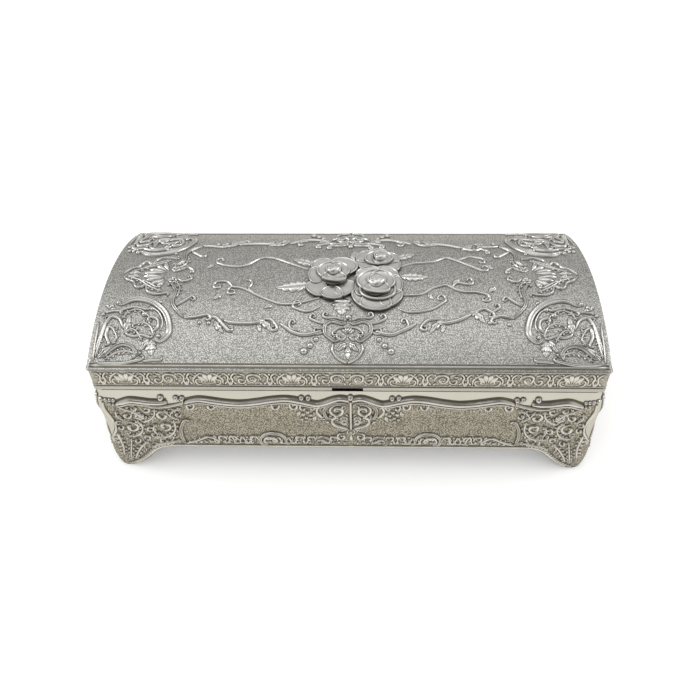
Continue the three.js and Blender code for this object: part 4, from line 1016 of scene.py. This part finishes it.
def zip_rows(low, low_share, high, high_share):
    """Triangles between two rows of points that differ in number."""
    faces, i, j = [], 0, 0
    while i < len(low) - 1 or j < len(high) - 1:
        if j == len(high) - 1 or (i < len(low) - 1 and low_share[i + 1] <= high_share[j + 1]):
            faces.append((low[i], low[i + 1], high[j]))
            i += 1
        else:
            faces.append((low[i], high[j + 1], high[j]))
            j += 1
    return faces


BASE_ROWS = 44


def base_shell():
    base, normal, spots = outline(BASE_CORNER, {"back": hinge_edges(LID_KNUCKLE_REACH)})
    sides = len(base)
    foot = np.zeros(sides)
    for i, (side, u) in enumerate(spots):
        if side != "corner":
            foot[i] = np.interp(abs(u), *apron_line(half_of(side)).T)
    recess = np.array([side == "back" and in_hinge(u, True) for side, u in spots])
    points = []
    for inset in (0, BASE_WALL):
        for r in range(BASE_ROWS + 1):
            z = foot + (RIM - foot) * r / BASE_ROWS
            out = ogee(z) - inset
            if inset == 0:
                out = np.where(recess & (z > RIM - KNUCKLE_RADIUS - CLEARANCE), -HINGE_RECESS, out)
            points += [*np.c_[base + normal * out[:, None], z]]
    top, inner_first = BASE_ROWS * sides, (BASE_ROWS + 1) * sides
    faces = loft_faces(BASE_ROWS + 1, sides) + loft_faces(BASE_ROWS + 1, sides, inner_first)
    return points, faces + strip_faces(0, inner_first, sides) + strip_faces(top, inner_first + top, sides)


def flange():
    """The flat ring in the base that the bottom plate is screwed to."""
    base, normal, _ = outline(FLANGE_CORNER, {})
    low, high = FLANGE_BOTTOM, FLANGE_BOTTOM + FLANGE_THICKNESS
    outer, inner = float(ogee(low)) - BASE_WALL / 2, float(ogee(low)) - BASE_WALL - FLANGE_WIDTH
    points = []
    for reach, z in ((outer, low), (outer, high), (inner, high), (inner, low)):
        points += [*np.c_[base + normal * reach, np.full(len(base), z)]]
    return points, loft_faces(4, len(base)) + strip_faces(3 * len(base), 0, len(base))


def bar(rings):
    """A solid from a run of cross-sections, closed at both ends."""
    sides = len(rings[0])
    last = (len(rings) - 1) * sides
    ends = [tuple(range(sides))[::-1], tuple(range(last, last + sides))]
    return [p for ring in rings for p in ring], loft_faces(len(rings), sides) + ends


def knuckle(low, high, bevel=0.25, sides=28):
    """A hinge knuckle along X with eased edges."""
    turn = np.linspace(0, 2 * math.pi, sides + 1)[:-1]
    rings = []
    for x, ease in ((low, bevel), (low + bevel, 0), (high - bevel, 0), (high, bevel)):
        r = KNUCKLE_RADIUS - ease
        rings.append(np.c_[np.full(sides, x), HINGE_Y + r * np.cos(turn), HINGE_Z + r * np.sin(turn)])
    return bar(rings)


def bracket(centre):
    """The cast web that carries a hinge's outer knuckles."""
    half = LID_KNUCKLE_LENGTH / 2 + KNUCKLE_GAP + KNUCKLE_LENGTH
    root, face = HALF_W - BASE_WALL / 2, HINGE_Y + KNUCKLE_RADIUS
    low = HINGE_Z - KNUCKLE_RADIUS - CLEARANCE
    profile = [(root, HINGE_Z - BRACKET_DROP - 0.4), (face - 0.9, HINGE_Z - BRACKET_DROP * 0.62),
               (face - 0.25, HINGE_Z - BRACKET_DROP * 0.44), (face, HINGE_Z - BRACKET_DROP / 3),
               (face - 0.1, low), (root, low)]
    stations = [(-half, 0.25), (-half + 0.35, 0), (half - 0.35, 0), (half, 0.25)]
    return bar([[(centre + x, y - ease, z + ease / 2) for y, z in profile] for x, ease in stations])


def hinge_parts(lid_part):
    near = LID_KNUCKLE_LENGTH / 2 + KNUCKLE_GAP
    parts = []
    for centre in (-HINGE_SPREAD, HINGE_SPREAD):
        if lid_part:
            parts.append(knuckle(centre - LID_KNUCKLE_LENGTH / 2, centre + LID_KNUCKLE_LENGTH / 2))
        else:
            parts += [bracket(centre), knuckle(centre - near - KNUCKLE_LENGTH, centre - near),
                      knuckle(centre + near, centre + near + KNUCKLE_LENGTH)]
    return parts


def joined(parts):
    points, faces = [], []
    for some, these in parts:
        faces += [tuple(len(points) + i for i in face) for face in these]
        points += some
    return points, faces


# Materials

def grey(value):
    return (value, value, value)


def shaded(colour, share):
    return tuple(share * c for c in colour)


class Nodes:
    """The node tree of a material or of the world, and its last node but the output."""

    def __init__(self, owner, last):
        owner.use_nodes = True
        self.owner = owner
        self.tree = owner.node_tree
        self.last = self.tree.nodes[last]

    def give(self, value, socket):
        """Sets an input, or links an output to it."""
        if isinstance(value, bpy.types.NodeSocket):
            self.tree.links.new(value, socket)
        elif socket.type == "RGBA":
            socket.default_value = (*value, 1)
        else:
            socket.default_value = value

    def fill(self, made, **values):
        """Gives a node its inputs and settings. An underscore stands for a space in an input's name."""
        for name, value in values.items():
            socket_name = name.replace("_", " ")
            if socket_name in made.inputs:
                self.give(value, made.inputs[socket_name])
            else:
                setattr(made, name, value)
        return made

    def add(self, kind, **values):
        return self.fill(self.tree.nodes.new("ShaderNode" + kind), **values)

    def ramp(self, source, *stops):
        """Colours, or plain greys, at places from 0 to 1 of the source."""
        made = self.add("ValToRGB", Fac=source)
        elements = made.color_ramp.elements
        while len(elements) < len(stops):
            elements.new(0.5)
        for element, (place, colour) in zip(elements, stops):
            element.position = place
            element.color = (*(colour if isinstance(colour, tuple) else grey(colour)), 1)
        return made.outputs["Color"]

    def mix(self, factor, first, second, blend="MIX"):
        made = self.add("Mix", data_type="RGBA", blend_type=blend)
        for name, value in (("Factor", factor), ("A", first), ("B", second)):
            self.give(value, made.inputs[name])
        return made.outputs["Result"]

    def multiplied(self, first, second):
        return self.mix(1.0, first, second, "MULTIPLY")

    def space(self):
        return self.add("TexCoord").outputs["Object"]

    def noise(self, size, detail=2.0, rough=0.5):
        """Noise whose grains are about this many millimetres."""
        made = self.add("TexNoise", Scale=1 / (size * MM), Detail=detail, Roughness=rough,
                        Vector=self.space())
        return made.outputs["Fac"]

    def dimples(self, size):
        """A random value for each punched dimple and the distance to its middle, dimples this far apart."""
        made = self.add("TexVoronoi", Scale=1 / (size * MM), Randomness=0.88, Vector=self.space())
        random = self.add("SeparateColor", Color=made.outputs["Color"]).outputs["Red"]
        return random, made.outputs["Distance"]

    def bump(self, height, depth, strength=1.0, **below):
        """Bumps this many millimetres deep, over the bumps in Normal where it is given."""
        made = self.add("Bump", Strength=strength, Distance=depth * MM, Height=height, **below)
        return made.outputs["Normal"]

    def crevice_shade(self, reach, floor=0.35):
        """Painted shade: a mask that darkens the colour where the surface is closed in by its neighbours.
        """
        made = self.add("AmbientOcclusion", Distance=reach * MM, samples=8)
        return self.ramp(made.outputs["AO"], (floor, 0), (0.92, 1))


def surface(name):
    return Nodes(bpy.data.materials.new(name), "Principled BSDF")


def metal(name):
    nodes = surface(name)
    nodes.fill(nodes.last, Metallic=1.0)
    return nodes


def stippled_silver(name, pale, dark, grain=0.42):
    """Plated ground with a punched grain, turned dark brown by painted shade in its crevices."""
    nodes = metal(name)
    grains, cells = nodes.dimples(grain)
    pits = nodes.ramp(cells, (0.34, pale), (0.55, dark))
    colour = nodes.multiplied(nodes.ramp(grains, (0.2, 0.84), (0.8, 1)), pits)
    colour = nodes.multiplied(colour, nodes.ramp(nodes.noise(28.0), (0.3, 0.95), (0.7, 1)))
    nodes.fill(nodes.last, Base_Color=nodes.mix(nodes.crevice_shade(1.3), (0.2, 0.19, 0.16), colour),
               Roughness=nodes.ramp(cells, (0.3, 0.32), (0.55, 0.48)),
               Normal=nodes.bump(nodes.noise(grain, 3.0), 0.12, 0.7, Normal=nodes.bump(cells, 0.05, 0.5)))
    return nodes.owner


def polished_silver(name, pale, dark, smooth, rough):
    """Raised plating with painted light: pale crests as a painted highlight, darker metal where it leaves
    the ground as painted contact shadow with some tarnish, and darker again in crevices as painted shade.
    """
    nodes = metal(name)
    crest = nodes.add("Attribute", attribute_name="crest").outputs["Fac"]
    colour = nodes.ramp(crest, (0.05, dark), (0.5, shaded(pale, 0.86)), (0.85, pale))
    colour = nodes.multiplied(colour, nodes.ramp(nodes.noise(4.0), (0.35, 0.88), (0.65, 1)))
    nodes.fill(nodes.last, Base_Color=nodes.mix(nodes.crevice_shade(0.9, 0.25), shaded(dark, 0.5), colour),
               Roughness=nodes.ramp(crest, (0.1, rough), (0.7, smooth)),
               Normal=nodes.bump(nodes.noise(0.6, 3.0), 0.05, 0.35))
    return nodes.owner


def plain_silver(name, pale, rough):
    """Smooth plating with faint polishing waves and marks, darkened in its crevices by painted shade."""
    nodes = metal(name)
    cloud = nodes.ramp(nodes.noise(18.0), (0.3, shaded(pale, 0.93)), (0.7, pale))
    wave = nodes.bump(nodes.noise(10.0), 0.08, 0.5)
    nodes.fill(nodes.last, Base_Color=nodes.mix(nodes.crevice_shade(1.0), shaded(pale, 0.3), cloud),
               Roughness=nodes.ramp(nodes.noise(1.2, 4.0), (0.3, rough * 0.8), (0.7, rough * 1.3)),
               Normal=nodes.bump(nodes.noise(0.5), 0.012, 0.4, Normal=wave))
    return nodes.owner


def brushed_steel(name, colour, rough):
    nodes = metal(name)
    stretched = nodes.add("Mapping", Scale=(0.03, 1.0, 1.0), Vector=nodes.space()).outputs["Vector"]
    lines = nodes.add("TexNoise", Scale=2500.0, Detail=3.0, Vector=stretched).outputs["Fac"]
    nodes.fill(nodes.last, Base_Color=nodes.ramp(lines, (0.3, shaded(colour, 0.82)), (0.7, colour)),
               Roughness=nodes.ramp(lines, (0.3, rough * 1.3), (0.7, rough * 0.8)),
               Normal=nodes.bump(lines, 0.02, 0.4))
    return nodes.owner


def velvet_cloth(name, colour):
    nodes = surface(name)
    brushed = nodes.noise(14.0)
    pile = nodes.noise(0.22, 3.0, 0.7)
    swept = nodes.ramp(brushed, (0.3, shaded(colour, 0.85)), (0.7, shaded(colour, 1.1)))
    tufts = nodes.ramp(pile, (0.3, 0.6), (0.7, 1))
    nodes.fill(nodes.last, Roughness=0.95, Specular_IOR_Level=0.15, Sheen_Weight=0.8, Sheen_Roughness=0.35,
               Sheen_Tint=(0.5, 0.55, 0.9), Base_Color=nodes.multiplied(swept, tufts),
               Normal=nodes.bump(brushed, 0.5, 0.12, Normal=nodes.bump(pile, 0.15, 0.7)))
    return nodes.owner


dome_ground = stippled_silver("dome_ground", (0.95, 0.945, 0.9), (0.44, 0.435, 0.4))
panel_ground = stippled_silver("panel_ground", (0.83, 0.78, 0.68), (0.26, 0.24, 0.19))
frieze_ground = stippled_silver("frieze_ground", (0.8, 0.77, 0.69), (0.44, 0.42, 0.35), 0.36)
band_silver = plain_silver("band_silver", (0.78, 0.76, 0.7), 0.12)
moulding_silver = plain_silver("moulding_silver", (0.62, 0.6, 0.55), 0.22)
inside_silver = plain_silver("inside_silver", (0.55, 0.54, 0.51), 0.35)
# Relief finishes: the pale colour is a painted highlight on crests, the dark one a painted contact shadow
# with some tarnish at their feet
dome_relief_silver = polished_silver("dome_relief_silver", (0.93, 0.92, 0.88), (0.28, 0.26, 0.21),
                                     0.24, 0.45)
base_relief_silver = polished_silver("base_relief_silver", (0.91, 0.88, 0.82), (0.2, 0.18, 0.13),
                                     0.2, 0.42)
rose_silver = polished_silver("rose_silver", (0.94, 0.93, 0.89), (0.25, 0.23, 0.19), 0.28, 0.45)
# Near black for the thumb slot: painted shadow in the recess
thumb_slot_shadow = plain_silver("thumb_slot_shadow", (0.03, 0.03, 0.028), 0.6)
steel_finish = brushed_steel("steel_finish", (0.66, 0.66, 0.67), 0.28)
plate_finish = brushed_steel("plate_finish", (0.6, 0.6, 0.58), 0.4)
velvet_finish = velvet_cloth("velvet_finish", (0.03, 0.035, 0.1))


# Pieces

# How far inside the outline a face counts as an inner one
INSIDE = 1.5
BAND_LOW = 36.4


def dressed(piece, body, slot_name, materials, *nodes):
    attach(piece, body)
    if nodes:
        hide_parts(*nodes)
    for material in materials:
        piece.data.materials.append(material)
    return piece


def paint(piece, pick):
    """Gives each face the material number that pick returns for its middle and normal, in millimetres, and
    shades smooth up to an angle between faces."""
    for face in piece.data.polygons:
        face.material_index = pick(Vector(face.center) / MM, face.normal)
    piece.data.set_sharp_from_angle(angle=math.radians(40))


def lid_pick(middle, normal):
    height = middle.z - LID_BOTTOM
    off_x, off_y = abs(middle.x), abs(middle.y)
    # Faces in the thumb slot take the near-black painted shadow
    if middle.y < 0 and off_x < THUMB_HALF and height < THUMB_HEIGHT + 0.02 and off_y > HALF_W - 1.6:
        return 4
    inside = off_y < HALF_W - INSIDE and off_x < HALF_L - INSIDE
    if inside and middle.z < dome_height(middle.y, DOME_RADIUS) - 1:
        return 3
    if height < FRIEZE_LOW - 0.1:
        return 2
    if height < LID_WALL_HEIGHT - FRIEZE_HIGH:
        return 1
    return 2 if height < LID_WALL_HEIGHT + 0.1 and abs(normal.z) < 0.9 else 0


def base_pick(middle, normal):
    off_x, off_y = abs(middle.x), abs(middle.y)
    inside = ogee(middle.z) - INSIDE
    if off_y < HALF_W + inside and off_x < HALF_L + inside:
        return 2
    from_corner = HALF_L - off_x if abs(normal.y) > abs(normal.x) else HALF_W - off_y
    reaches, heights = np.reshape(CORNER_EDGE, (-1, 2))[::-1].T
    edge = np.interp(middle.z, heights, reaches) - 0.2
    return 1 if middle.z > BAND_LOW or (middle.z > heights[0] and from_corner < edge) else 0


lid = make_object("lid_shell", *joined([lid_shell()] + hinge_parts(True)))
lid_finishes = [dome_ground, frieze_ground, moulding_silver, inside_silver, thumb_slot_shadow]
dressed(lid, "lid", "silver_plate", lid_finishes, "lid_casting")
paint(lid, lid_pick)

base = make_object("base_shell", *joined([base_shell(), flange()] + hinge_parts(False)))
dressed(base, "base", "silver_plate", [panel_ground, band_silver, inside_silver], "base_casting")
paint(base, base_pick)


def ornament(name, body, material, node_name, draw, *places):
    """One mesh of raised forms on a casting. Each place has the values that draw takes with it."""
    relief = Relief()
    for place, *values in places:
        draw(Pen(relief, place), *values)
    piece = make_object(name, np.vstack(relief.points), relief.faces, np.concatenate(relief.crests))
    dressed(piece, body, "silver_plate", [material], node_name)


ornament("dome_end_scrolls", "lid", dome_relief_silver, "lid_casting", dome_ends, [on_dome])
ornament("dome_garlands", "lid", dome_relief_silver, "lid_casting", dome_middle, [on_dome])
ornament("roses", "lid", rose_silver, "lid_casting", roses, [on_dome])
ornament("frieze_scrolls", "lid", base_relief_silver, "lid_casting", frieze,
         *([on_frieze(side), side] for side in SIDES))
for side in SIDES:
    wall = leaned(on_wall(side)) if side == "front" else on_wall(side)
    ornament(f"{side}_scrolls", "base", base_relief_silver, "base_casting", base_ornament, [wall, side])

STEEL_PIECES = ["hinge_pin_left", "hinge_pin_right"] + [f"bottom_screw_{k}" for k in range(1, 5)]
for name in STEEL_PIECES + ["bottom_plate"]:
    slots = frame["nodes"][name].data.materials
    slots.clear()
    slots.append(steel_finish if name in STEEL_PIECES else plate_finish)


# Velvet lining

def slab(name, node_name, body, fill, *sheets):
    """A velvet card between two grids of points."""
    points = np.array(sheets)
    number = np.arange(points[..., 0].size).reshape(points.shape[:3])
    faces = np.stack([number[:, :-1, :-1], number[:, 1:, :-1], number[:, 1:, 1:], number[:, :-1, 1:]], -1)
    faces = faces.reshape(-1, 4).tolist()
    n, size = number[0], number[0].size
    rim = [*n[0, :], *n[1:, -1], *n[-1, -2::-1], *n[-2:0:-1, 0]]
    faces += [[int(i), int(j), int(j + size), int(i + size)] for i, j in zip(rim, rim[1:] + rim[:1])]
    piece = make_object(name, points.reshape(-1, 3), faces)
    dressed(piece, body, "velvet", [velvet_finish], node_name)


def eased(distance):
    """A quarter round: 0 at an edge and 1 from one edge width inwards."""
    return np.sqrt(1 - (1 - np.clip(distance, 0, 1)) ** 2)


def arched(line, power=0.5):
    """0 at both ends of a line of places and 1 in its middle."""
    return np.maximum(np.sin(math.pi * (line - line[0]) / (line[-1] - line[0])), 0) ** power


def flat_lining(name, node_name, body, puff, edge, fill):
    """A card in its node's box, thin along one axis, with eased edges and a soft crown."""
    low, high = box_mm(node_name)
    thin = int(np.argmin(high - low))
    first, second = (k for k in range(3) if k != thin)
    lines = []
    for k in (first, second):
        inner = np.linspace(low[k] + edge, high[k] - edge, max(6, int((high[k] - low[k]) / 2.4)))
        lines.append(np.r_[low[k], low[k] + edge * 0.35, inner, high[k] - edge * 0.35, high[k]])
    falls = [eased(np.minimum(line - line[0], line[-1] - line) / edge) for line in lines]
    round_off = np.minimum(falls[0][:, None], falls[1])
    crown = arched(lines[0])[:, None] * arched(lines[1])
    half = (0.5 * (high - low)[thin] - 0.02) * (0.25 + 0.75 * round_off) + puff * crown
    sheets = []
    for side in (-1, 1):
        sheet = np.empty(half.shape + (3,))
        sheet[..., first], sheet[..., second] = np.meshgrid(*lines, indexing="ij")
        sheet[..., thin] = (low[thin] + high[thin]) / 2 + side * half
        sheets.append(sheet)
    slab(name, node_name, body, fill, *sheets)


CROWN_CARD = 1.2


def crown_lining():
    """The velvet card that follows the underside of the dome."""
    low, high = box_mm("lid_lining_crown")
    outer = DOME_RADIUS - LID_WALL - CLEARANCE
    half_turn = math.asin(high[1] / outer)
    xs, turns = np.meshgrid(np.linspace(low[0], high[0], 61), np.linspace(-half_turn, half_turn, 31))
    ease = eased(np.minimum(high[0] - np.abs(xs), outer * (half_turn - np.abs(turns))) / 0.9)
    sheets = []
    for depth in (0, 1):
        r = outer - CROWN_CARD / 2 + (0.5 - depth) * CROWN_CARD * (0.2 + 0.8 * ease)
        r = r - depth * 0.25 * arched(xs[0]) * ease
        sheets.append(np.stack([xs, r * np.sin(turns), DOME_CENTRE + r * np.cos(turns)], -1))
    slab("crown_velvet", "lid_lining_crown", "lid", 0.3, *sheets)


def lid_end_lining(side):
    """A velvet card with an arched top on an end of the lid."""
    low, high = box_mm(f"lid_lining_{side}")
    shares, ys = np.meshgrid(np.linspace(0, 1, 9), np.linspace(low[1], high[1], 25))
    top = dome_height(ys, DOME_RADIUS - LID_WALL - 2 * CLEARANCE - CROWN_CARD)
    z = low[2] + (top - low[2]) * shares
    ease = eased(np.minimum(np.minimum(high[1] - np.abs(ys), z - low[2]), top - z) / 0.7)
    half = (high[0] - low[0]) / 2 * (0.25 + 0.75 * ease)
    middle = (low[0] + high[0]) / 2
    slab(f"lid_velvet_{side}", f"lid_lining_{side}", "lid", 0.2,
         *(np.stack([middle + way * half, ys, z], -1) for way in (-1, 1)))


flat_lining("floor_pad", "base_lining_floor", "base", 0.5, 1, 0.5)
for side in ("front", "back", "left", "right"):
    flat_lining(f"base_velvet_{side}", f"base_lining_{side}", "base", 0, 0.6, 0.2)
for side in ("front", "back"):
    flat_lining(f"lid_velvet_{side}", f"lid_lining_{side}", "lid", 0, 0.6, 0.2)
for side in ("left", "right"):
    lid_end_lining(side)
crown_lining()


# Floor, light and camera

FLOOR_HALF = 4
FLOOR_GLOW = 0.17
FLOOR_COLOUR = grey(0.95)
MIRRORED_FLOOR = (0.76, 0.745, 0.69)


def placed(name, data):
    made = bpy.data.objects.new(name, data)
    bpy.context.scene.collection.objects.link(made)
    return made


def floor():
    """A pale table. The metal mirrors it darker and warmer, and the camera sees its shadow lightened."""
    mesh = bpy.data.meshes.new("floor")
    corners = [(FLOOR_HALF * x, FLOOR_HALF * y, 0) for x, y in ((-1, -1), (1, -1), (1, 1), (-1, 1))]
    mesh.from_pydata(corners, [], [(0, 1, 2, 3)])
    piece = placed("floor", mesh)
    nodes = surface("floor")
    ray = nodes.add("LightPath").outputs
    seen = nodes.add("Math", operation="MULTIPLY")
    nodes.give(ray["Is Camera Ray"], seen.inputs[0])
    nodes.give(FLOOR_GLOW, seen.inputs[1])
    nodes.fill(nodes.last, Base_Color=nodes.mix(ray["Is Glossy Ray"], FLOOR_COLOUR, MIRRORED_FLOOR),
               Roughness=0.9, Specular_IOR_Level=0.0, Emission_Strength=seen.outputs["Value"])
    piece.data.materials.append(nodes.owner)


floor()


def lamp(name, place, target, size, power):
    light = bpy.data.lights.new(name, "AREA")
    light.shape = "RECTANGLE"
    light.size, light.size_y = size
    light.energy = power
    made = placed(name, light)
    made.location = Vector(place)
    made.rotation_euler = (Vector(target) - Vector(place)).to_track_quat("-Z", "Y").to_euler()


lamp("top_window", (-0.1, 0.3, 1.6), (0, 0, 0), (1.6, 0.9), 3.0)
lamp("front_window", (-0.5, -0.7, 1.9), (0, 0, 0), (1.3, 0.5), 1.6)
lamp("left_window", (-1.5, 0.1, 1.1), (0, 0, 0.03), (0.5, 0.9), 5.0)
lamp("right_window", (1.5, 0.2, 1.2), (0, 0, 0.03), (0.5, 0.9), 4.0)


# The sky from the horizon to straight up as the metal mirrors it, with the dark camera side, and then as it
# lights the floor
MIRRORED_SKY = [(0.0, 0.42), (0.35, 0.5), (0.7, 0.52), (1.0, 0.42)]
CAMERA_SIDE = (0.0, -0.72, 0.69)
CAMERA_SHADE = [(0.8, 1), (0.96, (0.2, 0.18, 0.17))]
LIGHTING_SKY = [(0.0, 0.35), (0.4, 0.6), (0.8, 1.1), (1.0, 1.4)]
LIGHTING_SIDE = (0.0, -0.55, 0.83)


def sky():
    """A white studio: brighter over the front for the floor, mid grey with a dark side for the metal."""
    world = bpy.data.worlds.new("studio")
    bpy.context.scene.world = world
    nodes = Nodes(world, "Background")
    view = nodes.add("TexCoord").outputs["Generated"]

    def towards(side):
        made = nodes.add("VectorMath", operation="DOT_PRODUCT")
        nodes.give(view, made.inputs[0])
        nodes.give(side, made.inputs[1])
        return made.outputs["Value"]

    mirrored = nodes.multiplied(nodes.ramp(towards((0, 0, 1)), *MIRRORED_SKY),
                                nodes.ramp(towards(CAMERA_SIDE), *CAMERA_SHADE))
    ray = nodes.add("LightPath").outputs
    unseen = nodes.mix(ray["Is Glossy Ray"], nodes.ramp(towards(LIGHTING_SIDE), *LIGHTING_SKY), mirrored)
    nodes.fill(nodes.last, Color=nodes.mix(ray["Is Camera Ray"], unseen, grey(1.0)), Strength=1.0)


sky()

CAMERA_PLACE = (6.0, -198.5, 222.2)
CAMERA_DOWN = 45.1
CAMERA_YAW = -1.76
CAMERA_ROLL = -0.98
CAMERA_LENS = 36.0


def camera():
    data = bpy.data.cameras.new("camera")
    data.lens = data.sensor_width = CAMERA_LENS
    data.clip_start = 0.01
    made = placed("camera", data)
    down, yaw, roll = (math.radians(x) for x in (CAMERA_DOWN, CAMERA_YAW, CAMERA_ROLL))
    forward = Vector((math.sin(yaw) * math.cos(down), math.cos(yaw) * math.cos(down), -math.sin(down)))
    level = Vector((math.cos(yaw), -math.sin(yaw), 0))
    upright = level.cross(forward)
    right = math.cos(roll) * level + math.sin(roll) * upright
    up = -math.sin(roll) * level + math.cos(roll) * upright
    turn = Matrix((right, up, -forward)).transposed().to_4x4()
    made.matrix_world = Matrix.Translation(Vector(CAMERA_PLACE) * MM) @ turn
    bpy.context.scene.camera = made


camera()
bpy.context.scene.view_settings.view_transform = "Standard"
